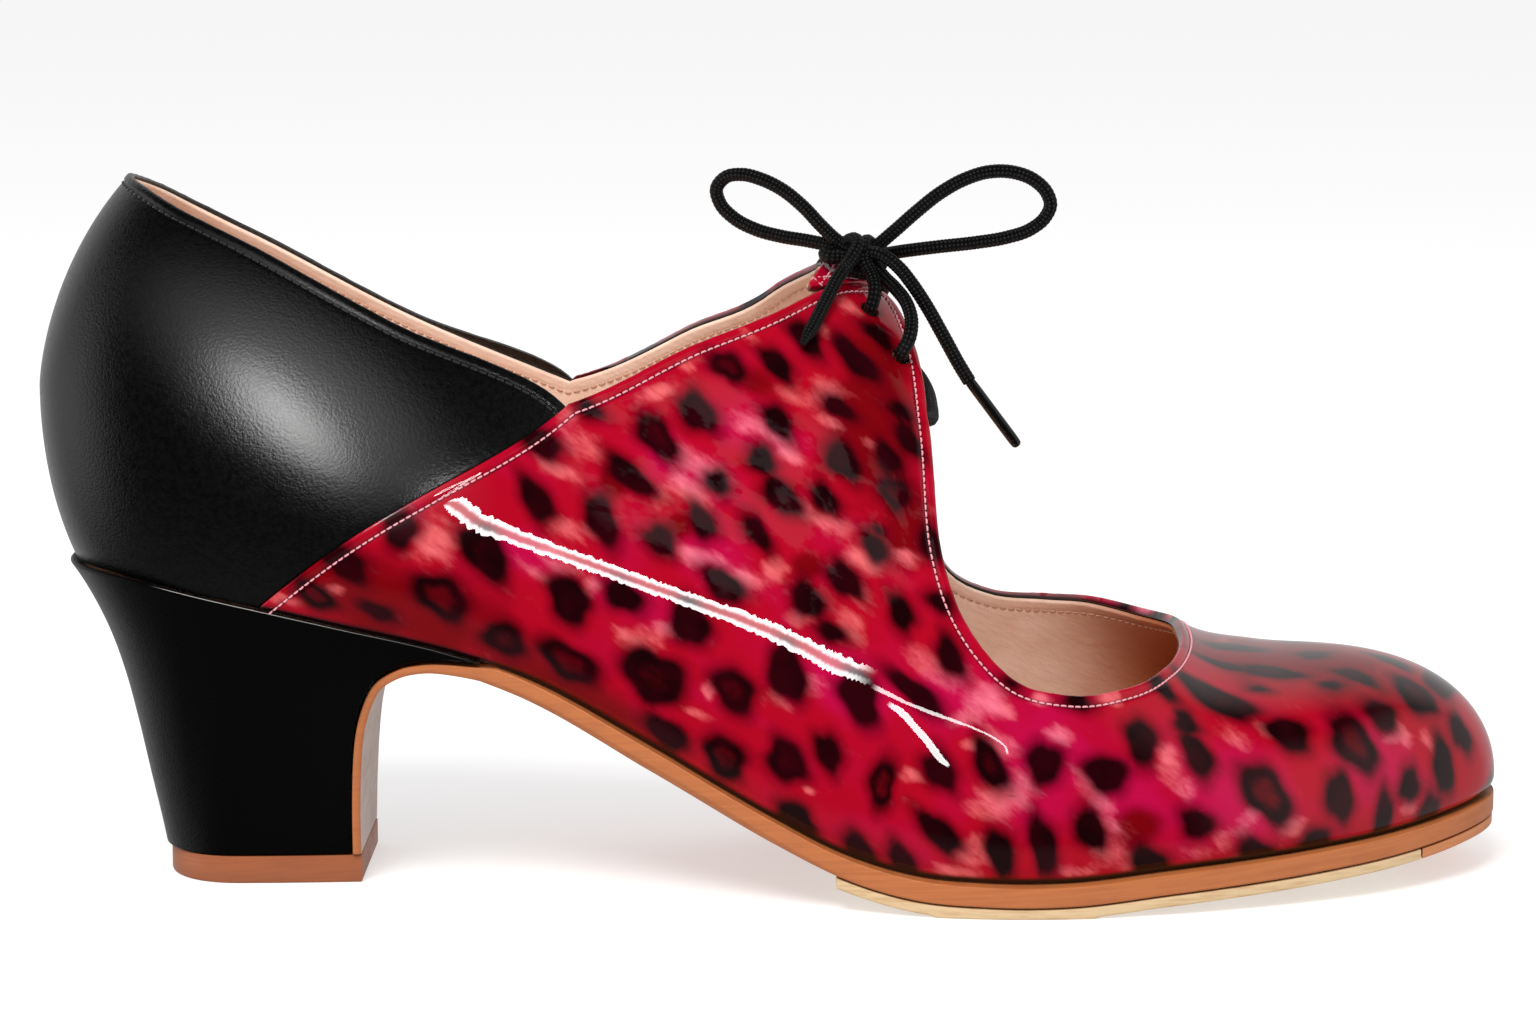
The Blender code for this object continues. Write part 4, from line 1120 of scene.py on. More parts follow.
def add_aglet():
    """The sheathed tip of the front end: a slim tube, a little fuller in its middle, with round ends."""
    line = route(AGLET_FRONT, AGLET_STEP)
    share = np.linspace(0, 1, len(line))
    radii = AGLET_RADIUS * round_end(np.abs(2 * share - 1), AGLET_ROUND).clip(AGLET_END, 1.0)
    rings = tube_rings(line, np.repeat(radii[:, None], AGLET_SIDES, 1), AGLET_SIDES)
    return add_mesh("aglet_tip", *lofted(rings), sharp=60.0)


def add_lace():
    braid = lace_braid()
    back, front = LOOP_BACK + END_NEAR, LOOP_FRONT + END_FRONT
    bow_back = add_braid("bow_back", [back], tip=True)
    dress(bow_back, braid, "black_braid", "lace_loop_back", "lace_end_near")
    bow_front = add_braid("bow_front", [front])
    dress(bow_front, braid, "black_braid", "lace_loop_front", "lace_end_front")
    aglet = dress(add_aglet(), aglet_plastic(), "black_aglet", "aglet_front")
    declare_cord(back)
    declare_cord(front)
    dress(add_braid("knot_wraps", KNOT_TURNS), braid, "black_braid", "lace_knot")
    dress(add_braid("lace_strands", STRANDS), braid, "black_braid", "lace_crossings")


add_lace()

# Print: spots in pixels of the photograph, as x, y, half length, half width, tilt in degrees down from +x,
# and how red the spot's heart is
SPOTS = (
    (400, 528, 23, 16, 75, 0), (484, 552, 33, 20, 45, 0.2), (441, 596, 30, 21, 35, 0.6),
    (570, 599, 27, 20, 50, 0.15), (345, 562, 27, 16, 40, 0), (316, 594, 24, 12, 30, 0.5),
    (378, 610, 20, 9, 30, 0), (505, 638, 26, 15, 42, 0.35), (570, 661, 34, 17, 38, 0.5),
    (541, 443, 23, 15, 30, 0.15), (537, 500, 27, 14, 50, 0), (590, 410, 16, 9, 25, 0),
    (602, 520, 27, 16, 65, 0), (630, 476, 30, 13, 40, 0), (657, 437, 28, 16, 52, 0.3),
    (698, 413, 27, 15, 55, 0), (728, 368, 21, 14, 50, 0.4), (776, 366, 24, 11, 50, 0),
    (805, 340, 22, 12, 62, 0), (855, 361, 29, 12, 62, 0), (877, 338, 19, 8, 65, 0),
    (838, 409, 20, 10, 45, 0), (778, 423, 22, 12, 50, 0), (718, 483, 17, 11, 50, 0),
    (762, 461, 18, 13, 45, 0), (782, 497, 25, 15, 50, 0), (843, 462, 26, 14, 55, 0.2),
    (825, 500, 22, 11, 60, 0), (888, 460, 22, 11, 58, 0), (894, 494, 22, 14, 65, 0.3),
    (899, 413, 16, 8, 55, 0), (908, 442, 23, 10, 58, 0), (703, 522, 21, 12, 52, 0),
    (661, 541, 21, 13, 52, 0), (758, 533, 24, 10, 60, 0), (875, 548, 19, 12, 55, 0),
    (879, 532, 10, 7, 45, 0), (845, 580, 26, 13, 52, 0), (724, 585, 26, 14, 45, 0),
    (808, 600, 25, 14, 55, 0), (901, 613, 23, 11, 65, 0), (930, 545, 22, 11, 65, 0),
    (624, 595, 22, 15, 40, 0), (691, 622, 28, 18, 50, 0.15), (655, 676, 34, 26, 40, 0.3),
    (735, 690, 25, 20, 45, 0.35), (788, 673, 33, 18, 65, 0), (726, 756, 28, 17, 50, 0.45),
    (788, 760, 27, 17, 62, 0.25), (829, 752, 23, 12, 72, 0), (668, 732, 30, 12, 40, 0),
    (798, 818, 27, 13, 30, 0), (861, 848, 25, 11, 55, 0), (860, 697, 32, 18, 60, 0),
    (916, 693, 36, 11, 42, 0), (950, 657, 23, 13, 60, 0), (940, 603, 15, 11, 40, 0),
    (832, 632, 20, 9, 30, 0), (883, 783, 25, 14, 105, 0.6), (940, 770, 25, 14, 60, 0),
    (990, 764, 33, 13, 68, 0.3), (1044, 764, 24, 17, 85, 0), (1105, 774, 23, 19, 35, 0),
    (940, 832, 29, 13, 55, 0), (903, 858, 22, 11, 65, 0), (1000, 852, 28, 13, 72, 0),
    (1043, 845, 31, 14, 80, 0), (1090, 829, 24, 15, 55, 0), (1076, 702, 16, 9, 25, 0),
    (1010, 684, 10, 6, 30, 0), (1140, 742, 25, 15, 72, 0), (1184, 725, 16, 10, 30, 0),
    (1196, 756, 24, 14, 70, 0), (1160, 690, 14, 8, 10, 0), (1214, 701, 35, 12, 50, 0.25),
    (1222, 668, 13, 4.5, 40, 0), (1270, 675, 22, 6.5, 28, 0.2), (1258, 692, 9, 4, 25, 0),
    (1287, 736, 26, 14, 38, 0), (1353, 744, 34, 18, 38, 0.5), (1265, 794, 32, 22, 40, 0.6),
    (1338, 797, 26, 14, 65, 0), (1196, 823, 18, 15, 45, 0), (1148, 862, 21, 17, 45, 0),
    (1204, 865, 16, 13, 30, 0), (1257, 852, 20, 15, 40, 0), (1315, 840, 16, 13, 30, 0),
    (1381, 816, 21, 10, 80, 0), (1407, 785, 16, 11, 70, 0), (1441, 766, 23, 12, 65, 0),
    (1414, 697, 27, 12, 38, 0.3), (1380, 717, 20, 12, 45, 0), (1355, 679, 22, 6, 8, 0.2),
    (1313, 658, 16, 4, 10, 0), (1390, 664, 15, 4, 10, 0), (1440, 684, 20, 8, 35, 0),
    (1458, 734, 20, 9, 60, 0), (1425, 812, 17, 9, 140, 0), (1233, 651, 16, 4.5, 20, 0),
    (1330, 688, 12, 5, 20, 0),
)

# Patches of the print, pale, magenta and deep red: x, y, half length, half width, tilt
PALE_PATCHES = (
    (940, 668, 32, 15, 20), (985, 700, 22, 13, 25), (1010, 790, 32, 18, -25), (975, 850, 16, 24, 80),
    (1110, 830, 24, 13, 45), (1060, 735, 15, 9, 20), (435, 543, 25, 18, 0), (565, 420, 20, 10, 60),
    (580, 440, 22, 12, 40), (552, 465, 18, 8, 30), (570, 525, 25, 8, 20), (545, 565, 25, 14, 20),
    (335, 588, 10, 6, 0), (290, 598, 20, 5, 10), (690, 365, 12, 8, 0), (655, 395, 26, 8, -20),
    (700, 465, 30, 12, 25), (690, 490, 22, 10, 30), (660, 500, 10, 14, 0), (765, 430, 26, 10, 30),
    (790, 455, 13, 8, 40), (800, 400, 24, 8, 35), (750, 340, 15, 6, 50), (830, 395, 16, 8, 40),
    (845, 310, 14, 9, 60), (820, 330, 8, 6, 0), (825, 420, 15, 6, 30), (775, 570, 12, 14, 0),
    (740, 580, 22, 12, 0), (830, 525, 30, 10, 25), (865, 560, 25, 12, 20), (905, 560, 15, 10, 0),
    (870, 445, 10, 5, 40), (860, 600, 20, 10, 40), (800, 615, 14, 10, 0), (700, 555, 30, 10, 10),
    (640, 640, 22, 12, 10), (665, 630, 12, 8, 0), (590, 590, 10, 12, 50), (710, 690, 6, 8, 0),
    (698, 712, 12, 5, 15), (785, 702, 16, 5, 40), (815, 685, 16, 10, 40), (810, 790, 6, 4, 0),
    (850, 622, 20, 12, 40), (930, 662, 28, 12, 20), (1000, 710, 16, 10, 20), (1000, 745, 20, 12, 40),
    (960, 720, 15, 8, 0), (1000, 800, 30, 18, -20), (975, 845, 12, 18, 80), (960, 872, 24, 8, 10),
    (1095, 795, 30, 8, 50), (910, 775, 12, 7, 20), (970, 745, 10, 8, 0), (1120, 860, 28, 13, 40),
    (1078, 870, 18, 6, 10), (1038, 700, 10, 6, 0), (1108, 700, 10, 8, 0), (1170, 765, 20, 10, 50),
    (1185, 785, 12, 8, 45), (1240, 745, 18, 8, 10), (1265, 735, 10, 8, 0), (1225, 838, 30, 14, -10),
    (1250, 815, 15, 10, -20), (1230, 860, 15, 8, 0), (1290, 825, 12, 10, 0), (1400, 735, 8, 12, 0),
    (1425, 740, 6, 10, 0), (1390, 740, 12, 6, -20), (1360, 765, 10, 6, 0), (1405, 808, 10, 7, 0),
)
MAGENTA_PATCHES = (
    (520, 548, 45, 16, 20), (640, 600, 50, 16, 25), (760, 430, 40, 20, 35), (690, 470, 40, 18, 25),
    (1230, 800, 60, 36, 10), (1380, 760, 36, 28, 0), (845, 685, 40, 24, 30), (1050, 760, 50, 55, 0),
    (1130, 795, 45, 28, 20), (720, 560, 36, 20, 30), (960, 700, 36, 26, 0),
)
DEEP_PATCHES = (
    (806, 566, 14, 12, 0), (1137, 827, 20, 16, 0), (615, 480, 12, 16, 0), (680, 525, 14, 12, 0),
    (760, 385, 16, 12, 40), (400, 606, 125, 38, 18), (560, 690, 110, 26, 30), (720, 790, 100, 26, 35),
    (860, 860, 60, 20, 20), (875, 400, 40, 95, 10), (1290, 660, 120, 22, 5), (905, 520, 20, 40, 0),
)
CHARTS = {"spot": SPOTS, "salmon": PALE_PATCHES, "magenta": MAGENTA_PATCHES, "deep": DEEP_PATCHES}
PATCH_REACH = 3.0
HEART_FADE, PATCH_FADE = (0.8, 0.25), (2.1, 0.2)
SPOT_WOBBLE = ((2, 0.1), (3, 0.09), (5, 0.06))

# Print where the photograph doesn't show it: sizes, spacing and lean of the same kinds of mark
PRINT_SEED = 11
HIDDEN_MARKS = {
    "spot": {"tries": 1500, "apart": 8.6, "long": (3.3, 5.0), "wide": (1.8, 2.9)},
    "salmon": {"tries": 1200, "apart": 8.0, "long": (2.2, 4.6), "wide": (1.2, 2.2)},
    "magenta": {"tries": 160, "apart": 24.0, "long": (8.0, 11.0), "wide": (5.0, 8.0)},
}
HIDDEN_HEART, HIDDEN_HEART_SHARE = 0.5, 0.2
HIDDEN_LEAN, HIDDEN_LEAN_SPREAD = 48.0, 18.0
SEEN_SLACK = 2.0


def is_seen(skin, points, ways):
    """Whether the photograph's camera sees each point of the surface."""
    flags = []
    for point, way in zip(points, ways):
        ray = point - CAMERA_PLACE
        reach = np.linalg.norm(ray)
        found = skin.tree.ray_cast(Vector(CAMERA_PLACE), Vector(ray / reach))
        clear = found[3] is None or found[3] > reach - SEEN_SLACK
        flags.append(clear and way @ ray < -SEEN_FACING * reach)
    return np.array(flags)


def scattered(kind, places, ways, taken, random):
    """Marks scattered over hidden places, well apart: each a middle, a way out and two half axes."""
    taken = [np.asarray(place) for place in taken]
    marks = []
    for index in random.integers(0, len(places), kind["tries"]):
        place, way = places[index], ways[index]
        if taken and np.linalg.norm(np.array(taken) - place, axis=1).min() < kind["apart"]:
            continue
        taken.append(place)
        lean = math.radians(random.normal(HIDDEN_LEAN, HIDDEN_LEAN_SPREAD))
        ahead = np.array([math.cos(lean), 0.0, -math.sin(lean)])
        ahead -= way * (ahead @ way)
        ahead /= np.linalg.norm(ahead)
        other = np.cross(way, ahead)
        long, wide = ahead * random.uniform(*kind["long"]), other * random.uniform(*kind["wide"])
        marks.append((place, way, long, wide))
    return marks


def radius_in(points, mark, wobble=()):
    """How far points lie from a mark's middle, 1 at its wobbly rim. Far points are left well outside."""
    middle, _, long, wide = mark
    away = points - middle
    radius = np.full(len(points), OUTSIDE)
    near = np.linalg.norm(away, axis=1) < PATCH_REACH * np.linalg.norm(long)
    u = away[near] @ long / (long @ long)
    v = away[near] @ wide / (wide @ wide)
    angle = np.arctan2(v, u)
    rim = 1 + sum(size * np.cos(turns * angle + phase) for turns, size, phase in wobble)
    radius[near] = np.hypot(u, v) / rim
    return radius


def print_marks(skin, places, ways, random):
    """The print's marks by kind, with how red each one's heart is: charted, then scattered where hidden."""
    hidden = ~is_seen(skin, places, ways)
    marks = {}
    for name, rows in CHARTS.items():
        laid = [(skin.patch(*row[:5]), row[5] if len(row) > 5 else 0.0) for row in rows]
        marks[name] = [(mark, heart) for mark, heart in laid if mark is not None]
    for name, kind in HIDDEN_MARKS.items():
        taken = [mark[0] for mark, _ in marks[name]]
        spread = scattered(kind, places[hidden], ways[hidden], taken, random)
        marks[name] += [(mark, HIDDEN_HEART * (random.random() < HIDDEN_HEART_SHARE)) for mark in spread]
    return marks


def paint_print(obj, skin, places, ways):
    """Keeps the print's fields on the vamp's points: places on the last and the ways out of it."""
    random = np.random.default_rng(PRINT_SEED)
    marks = print_marks(skin, places, ways, random)
    spot = np.full(len(places), -OUTSIDE)
    heart = np.zeros(len(places))
    for mark, red in marks["spot"]:
        wobble = [(turns, size, random.uniform(0, 2 * math.pi)) for turns, size in SPOT_WOBBLE]
        radius = radius_in(places, mark, wobble)
        size = math.sqrt(np.linalg.norm(mark[2]) * np.linalg.norm(mark[3]))
        spot = np.maximum(spot, (1 - radius) * size)
        heart = np.maximum(heart, red * ease(radius, *HEART_FADE))
    set_value(obj, "spot", spot)
    set_value(obj, "heart", heart)
    for name in ("salmon", "magenta", "deep"):
        field = np.zeros(len(places))
        for mark, _ in marks[name]:
            field = np.maximum(field, ease(radius_in(places, mark), *PATCH_FADE))
        set_value(obj, name, field)


# Upper: vamp, quarter and lining over the last


def edge_fall(distance, size):
    """How far a rounded edge falls back, at a distance from its end."""
    near = np.clip(size - distance, 0, size)
    return size - np.sqrt(size**2 - near**2)


def stitch_groove(distance, stitch_in):
    """How deep the stitches draw the leather in, at a distance from the edge."""
    return GROOVE_DEPTH * np.exp(-(((distance - stitch_in) / GROOVE_WIDTH) ** 2))


def edge_profile(distance, round_size, fold, fold_width, stitch_in):
    """How the outside stands near a free edge: rounded off, folded thick, then drawn in by the stitches."""
    fold = fold * ease(distance, fold_width, fold_width - FOLD_FALL)
    return fold - edge_fall(distance, round_size) - stitch_groove(distance, stitch_in)


def onto_last(points):
    """Points near the last, moved onto its surface and kept a little short of its two ends."""
    points = np.array(points, float)
    for _ in range(ONTO_ROUNDS):
        points[..., 0] = np.clip(points[..., 0], HEEL_BACK + END_SLACK, TOE_TIP - END_SLACK)
        ways = outward(points)
        rise = (depth_value(points + PROBE * ways) - depth_value(points - PROBE * ways)) / (2 * PROBE)
        points = points - ((depth_value(points) - 1) / rise)[..., None] * ways
    points[..., 0] = np.clip(points[..., 0], HEEL_BACK + END_SLACK, TOE_TIP - END_SLACK)
    return points


def inset_line(edge, distance, inside):
    """A line on the last at a distance from an edge, on the side where the point inside lies."""
    line = dense(edge, INSET_STEP)
    side = np.cross(outward(line), heading(line))
    middle = len(line) // 2
    if side[middle] @ (np.asarray(inside) - line[middle]) < 0:
        side = -side
    return onto_last(line + side * distance)


# Stitches: length as a share of the pitch, then rows of their shape: place along it, rise and thickness
STITCH_LENGTH, STITCH_SIDES = 0.82, 6
STITCH_SHAPE = (
    (-0.5, -0.16, 0.75),
    (-0.3, 0.02, 1.0),
    (0.0, 0.09, 1.05),
    (0.3, 0.02, 1.0),
    (0.5, -0.16, 0.75),
)
STITCHES = {
    "vamp": {"height": VAMP_RISE, "pitch": 1.18, "radius": 0.15},
    "collar": {"height": -0.06, "pitch": 1.5, "radius": 0.17},
    "lining": {"height": -LINING_INSIDE, "pitch": 1.5, "radius": 0.14, "facing": -1.0},
}

# From the middle of the collar and of the lining's rim to the side where their stitches run
BELOW_COLLAR, INTO_LINING = (0.0, 0.0, -20.0), (20.0, 0.0, -2.0)


def add_stitches(name, line, material, slot, height, pitch, radius, facing=1.0):
    """Stitches along a line on the last: short arched threads whose ends dip into the leather.

    They stand up from the outside, or from the inside if facing is -1.
    """
    turns = np.arange(STITCH_SIDES) * 2 * math.pi / STITCH_SIDES
    line = dense(line, pitch)
    tubes = []
    for place, along, way in zip(line, heading(line), outward(line) * facing):
        ring = np.cross(way, along) * np.cos(turns)[:, None] + way * np.sin(turns)[:, None]
        rings = []
        for share, rise, thick in STITCH_SHAPE:
            middle = place + along * share * STITCH_LENGTH * pitch + way * (height + rise)
            rings.append(middle + ring * radius * thick)
        tubes.append(lofted(rings))
    dress(add_mesh(name, *joined(tubes)), material, slot)


# Creases of the vamp: a line of the photograph's pixels, depth and half width
CREASES = (
    {"line": ((930, 710), (960, 722), (992, 740), (1004, 752)), "depth": 0.03, "wide": 1.6},
    {"line": ((1006, 776), (1036, 796), (1064, 818)), "depth": 0.05, "wide": 1.6},
    {"line": ((888, 346), (895, 365), (906, 390), (921, 414)), "depth": 0.3, "wide": 1.4},
)
RIDGE_SHARE, RIDGE_OUT = 0.5, 2.2


def crease_relief(skin, points):
    """How far the creases move points out of the surface: soft troughs between lower ridges."""
    relief = np.zeros(len(points))
    for crease in CREASES:
        hits = [skin.hit(px, py) for px, py in crease["line"]]
        away = nearest(points, dense([hit[0] for hit in hits])) / crease["wide"]
        ridge = RIDGE_SHARE * np.exp(-((away - RIDGE_OUT) ** 2))
        relief += crease["depth"] * (ridge - np.exp(-(away**2)))
    return relief


def add_vamp(lateral, medial, patent):
    """The printed shell. Its cut edge runs up the outer seam, round the throat and down the inner seam."""
    net = np.concatenate([lateral, medial[:-1][::-1]])
    ways = outward(net)
    edge = dense(np.concatenate([net[0], net[1:-1, -1], net[-1][::-1]]))
    flat = net.reshape(-1, 3)
    to_edge = nearest(flat, edge).reshape(net.shape[:2])
    seams = np.concatenate([dense(net[0]), dense(net[-1])])
    to_seam = nearest(flat, seams).reshape(net.shape[:2])
    over_foot = net[..., 2] - feather(net[..., 0])
    profile = edge_profile(to_edge, EDGE_ROUND, EDGE_FOLD, FOLD_WIDTH, STITCH_IN)
    skin = Skin(lateral, medial)
    creases = crease_relief(skin, flat).reshape(net.shape[:2])
    tuck = FOOT_TUCK * ease(over_foot, *FOOT_TUCK_FADE)
    outer = net + ways * (VAMP_RISE + profile + creases - tuck)[..., None]
    inside = VAMP_INSIDE + (VAMP_LAP - VAMP_INSIDE) * ease(to_seam, *VAMP_LAP_FADE)
    obj = shell("vamp", outer, net + ways * inside[..., None])
    cut_eyelets(obj)
    smooth_shade(obj)
    places = places_of(obj)
    onto = onto_last(places)
    ways = outward(onto)
    height = ((places - onto) * ways).sum(1)
    paint_print(obj, skin, onto, ways)
    # Painted shade along the stitch line, kept on the points as "groove"
    set_value(obj, "groove", ease(np.abs(nearest(onto, edge) - STITCH_IN), *GROOVE_SHADE))
    set_value(obj, "paint", ease(height, *CUT_PAINT))
    # Painted shade where the vamp meets the sole, kept on the points as "low"
    set_value(obj, "low", ease(places[:, 2] - feather(places[:, 0]), *LOW_PAINTED_SHADE))
    dress(obj, patent, "printed_patent_leather", "upper")
    return edge


def add_quarter(leather):
    """The black shell round the heel, with a rolled rim, running on under the vamp's seam."""
    halves, unders = [], []
    for side in SIDES:
        rows = QUARTER_EDGE[side] + (QUARTER_UNDER_VAMP[side],)
        ends = rib_ends(rows, side, QUARTER_RIBS, at_heel=True)
        halves.append(ribs_of(ends, side, FINE_LEVELS))
        unders.append(ease(ends[0], *UNDER_FADE))
    net = np.concatenate([halves[0][::-1], halves[1][1:]])
    under = np.concatenate([unders[0][::-1], unders[1][1:]])[:, None]
    ways = outward(net)
    rim = dense(net[:, -1])
    to_rim = nearest(net.reshape(-1, 3), rim).reshape(net.shape[:2])
    profile = edge_profile(to_rim, COLLAR_ROUND, COLLAR_FOLD, COLLAR_FOLD_WIDTH, COLLAR_STITCH_IN)
    outer = net + ways * (profile * (1 - under) - UNDER_DROP * under)[..., None]
    obj = shell("quarter", outer, net + ways * QUARTER_INSIDE)
    dress(obj, leather, "black_leather", "upper")
    return net[:, -1]


def add_lining(nude):
    """The nude leather inside, one ring right round, just under the edges of what it lines."""
    sides = []
    for side in SIDES:
        quarter = rib_ends(QUARTER_EDGE[side], side, LINING_RIBS["quarter"], at_heel=True)
        vamp = rib_ends(VAMP_EDGE[side], side, LINING_RIBS["vamp"], at_toe=True)
        ends = tuple(np.concatenate(pair) for pair in zip(quarter, vamp))
        sides.append(ribs_of(ends, side, LINING_LEVELS, drop=LINING_DROP))
    net = np.concatenate([sides[0], sides[1][1:-1][::-1]])
    ways = outward(net)
    rim = np.concatenate([net[:, -1], net[:1, -1]])
    to_rim = nearest(net.reshape(-1, 3), dense(rim)).reshape(net.shape[:2])
    inside = LINING_INSIDE + edge_fall(to_rim, LINING_ROUND) + stitch_groove(to_rim, LINING_STITCH_IN)
    inner = net + ways * inside[..., None]
    obj = shell("lining", net + ways * LINING_OUTSIDE, inner, wrap=True)
    cut_eyelets(obj)
    smooth_shade(obj)
    # Painted shade towards the toe, kept on the points as "toe"
    set_value(obj, "toe", ease(places_of(obj)[:, 0], *TOE_PAINTED_SHADE))
    dress(obj, nude, "nude_lining_leather", "upper")
    return rim


def add_upper():
    patent = printed_patent()
    leather = black_leather("quarter_leather", roughness=0.23, grain=0.45, light=1.0, shine=0.5)
    nude = nude_leather()
    vamp = both_sides(VAMP_EDGE, VAMP_RIBS, FINE_LEVELS, close_to="start", at_toe=True)
    edge = add_vamp(*vamp, patent)
    collar = add_quarter(leather)
    lining_rim = add_lining(nude)
    pink, black = thread("pink_thread", THREAD_PINK), thread("black_thread", THREAD_BLACK)
    tan = thread("lining_thread", THREAD_NUDE)
    line = inset_line(edge, STITCH_IN, vamp[0][-1, FINE_LEVELS])
    add_stitches("vamp_stitches", line, pink, "printed_patent_leather", **STITCHES["vamp"])
    line = inset_line(collar, COLLAR_STITCH_IN, collar[len(collar) // 2] + BELOW_COLLAR)
    add_stitches("collar_stitches", line, black, "black_leather", **STITCHES["collar"])
    line = inset_line(lining_rim, LINING_STITCH_IN, lining_rim[len(lining_rim) // 2] + INTO_LINING)
    add_stitches("lining_stitches", line, tan, "nude_lining_leather", **STITCHES["lining"])


add_upper()

# Soles and heel: the solids' own sizes, with rounded edges
SOLE_MARGIN, SOLE_TIP, WALL = 3.0, 122.4, 1.6
OUTSOLE_TURN, WAIST_FRONT, WAIST_TURN_IN = -44.0, -20.0, 0.06
OUTSOLE_THICK = ((-44.0, 3.2), (-20.0, 3.8), (0.0, 3.8), (14.0, 3.5), (34.0, 3.3), (122.4, 3.3))
OUTSOLE_CHAMFER = ((-44.0, 0.9), (-10.0, 1.4), (8.0, 0.8), (14.0, 0.3), (122.4, 0.3))
HALF_SOLE_BACK, HALF_SOLE_FRONT = 11.0, 107.0
UNDER_THICK, UNDER_INSET, UNDER_CHAMFER = 1.7, 0.2, 0.25
BALL_FLAT = (27.0, 52.0)
INSOLE_THICK, INSOLE_INSET, INSOLE_CHAMFER = 1.8, 1.0, 0.3
INSOLE_BACK, INSOLE_TIP = -111.8, 118.2
CHAMFER_MOST, LAST_TURN, TURN_STEPS = 0.3, 0.9996, 48
SOLE_STEP, CORNER_STEPS = 1.2, 4
EDGE_RADIUS, CORNER_SHARE = 0.3, 0.45

BREAST_ROWS = (
    (-46.5, 37.75),
    (-52.8, 38.3),
    (-56.4, 38.2),
    (-60.0, 37.4),
    (-63.7, 35.2),
    (-65.8, 32.0),
    (-67.5, 26.7),
    (-68.3, 20.3),
    (-68.7, 12.0),
    (-68.8, 4.8),
)
HEEL_BACK_ROWS = (
    (-116.2, 52.7),
    (-114.2, 49.6),
    (-112.3, 46.1),
    (-109.8, 40.5),
    (-107.3, 32.9),
    (-105.3, 24.7),
    (-103.3, 15.5),
    (-101.8, 9.0),
    (-100.9, 4.8),
)
HEEL_SIDE_STEPS, HEEL_LEVELS, HEEL_BEVEL, HEEL_BEVEL_STEPS = 72, 56, 0.7, 7
# Where the painted highlight along the heel's top edge fades in
RIM_HIGHLIGHT_FADE = (-106.0, -96.0)
HEEL_AXIS, LIFT_MIDDLE = np.array([-80.0, 0.0, 0.0]), np.array([-83.0, 0.0])
BACK_EASE, WIDTH_EASE = 0.6, 1.15
SEAT_RIM, SEAT_TURN, SEAT_ROUND, SEAT_ARC_WEIGHT = 0.9, HEEL_CENTRE - 2.0, 2.2, 1.4
FLAP_THICK, FLAP_MARGIN, FLAP_BEVEL, FLAP_BEVEL_START = 1.4, 0.4, 0.4, 0.65
FLAP_SWELL, FLAP_SWELL_ROWS, FLAP_STEPS = 0.9, 0.9, 46
FLAP_END_HALF, FLAP_EASE = 15.8, 0.75
FLAP_FACE = {"across": 0.4, "up": 0.2, "ahead": 0.3, "down": -0.5, "past": 6.0}
LIFT_HALF_WIDTH, LIFT_RIM, LIFT_BACK_INSET, LIFT_TOP = 16.0, 0.3, 0.9, 4.5
LIFT_FRONT, LIFT_FRONT_SHARE, LIFT_STEPS, LIFT_RIM_POWER = -67.0, 0.93, 60, 4
LIFT_SPLIT, LIFT_TURN_BACK, LIFT_ROUND, LIFT_BEVEL = 0.42, 3.0, 2.1, 0.35

# Levels of the lift: height, and how far its edge is drawn in
LIFT_LEVELS = (
    (0.0, LIFT_BEVEL),
    (LIFT_BEVEL * 0.4, 0.1),
    (LIFT_BEVEL, 0.0),
    (LIFT_TOP - 0.3, 0.0),
    (LIFT_TOP, 0.2),
)


def feather_sides(x, margin, back, tip):
    """Y of both sides of an outline that stands off the feather line by a margin, with its own ends."""
    row = {name: curve(x) for name, curve in LAST_CURVES.items()}
    shrink = round_end((HEEL_CENTRE - x) / (HEEL_CENTRE - back), HEEL_ROUND["plan"])
    shrink = shrink * round_end((x - TOE_CENTRE) / (tip - TOE_CENTRE), TOE_ROUND["plan"])
    lateral = (row["ridge"] - row["lateral"]) * (1 - row["tuck_lateral"]) + margin
    medial = (row["medial"] - row["ridge"]) * (1 - row["tuck_medial"]) + margin
    return row["ridge"] - lateral * shrink, row["ridge"] + medial * shrink


def toe_stations(tip):
    """Stations round the toe, up to just short of the tip."""
    turns = np.linspace(0, math.pi / 2, TURN_STEPS)[1:]
    return TOE_CENTRE + (tip - TOE_CENTRE) * np.minimum(np.sin(turns), LAST_TURN)


def heel_stations(back):
    """Stations round the heel, from just short of its back."""
    turns = np.linspace(0, math.pi / 2, TURN_STEPS)
    return HEEL_CENTRE - (HEEL_CENTRE - back) * np.minimum(np.cos(turns), LAST_TURN)


def straight_rows(x, rows):
    xs, values = zip(*rows)
    return np.interp(x, xs, values)


def rounded_ring(corners):
    """A closed outline with each corner turned into a short arc."""
    corners = np.asarray(corners, float)
    ring = []
    for before, corner, after in zip(np.roll(corners, 1, 0), corners, np.roll(corners, -1, 0)):
        back, ahead = before - corner, after - corner
        back_length, ahead_length = np.linalg.norm(back), np.linalg.norm(ahead)
        reach = min(EDGE_RADIUS, CORNER_SHARE * back_length, CORNER_SHARE * ahead_length)
        start = corner + back * reach / max(back_length, TINY)
        end = corner + ahead * reach / max(ahead_length, TINY)
        for t in np.linspace(0, 1, CORNER_STEPS):
            ring.append((1 - t) ** 2 * start + 2 * t * (1 - t) * corner + t * t * end)
    return ring


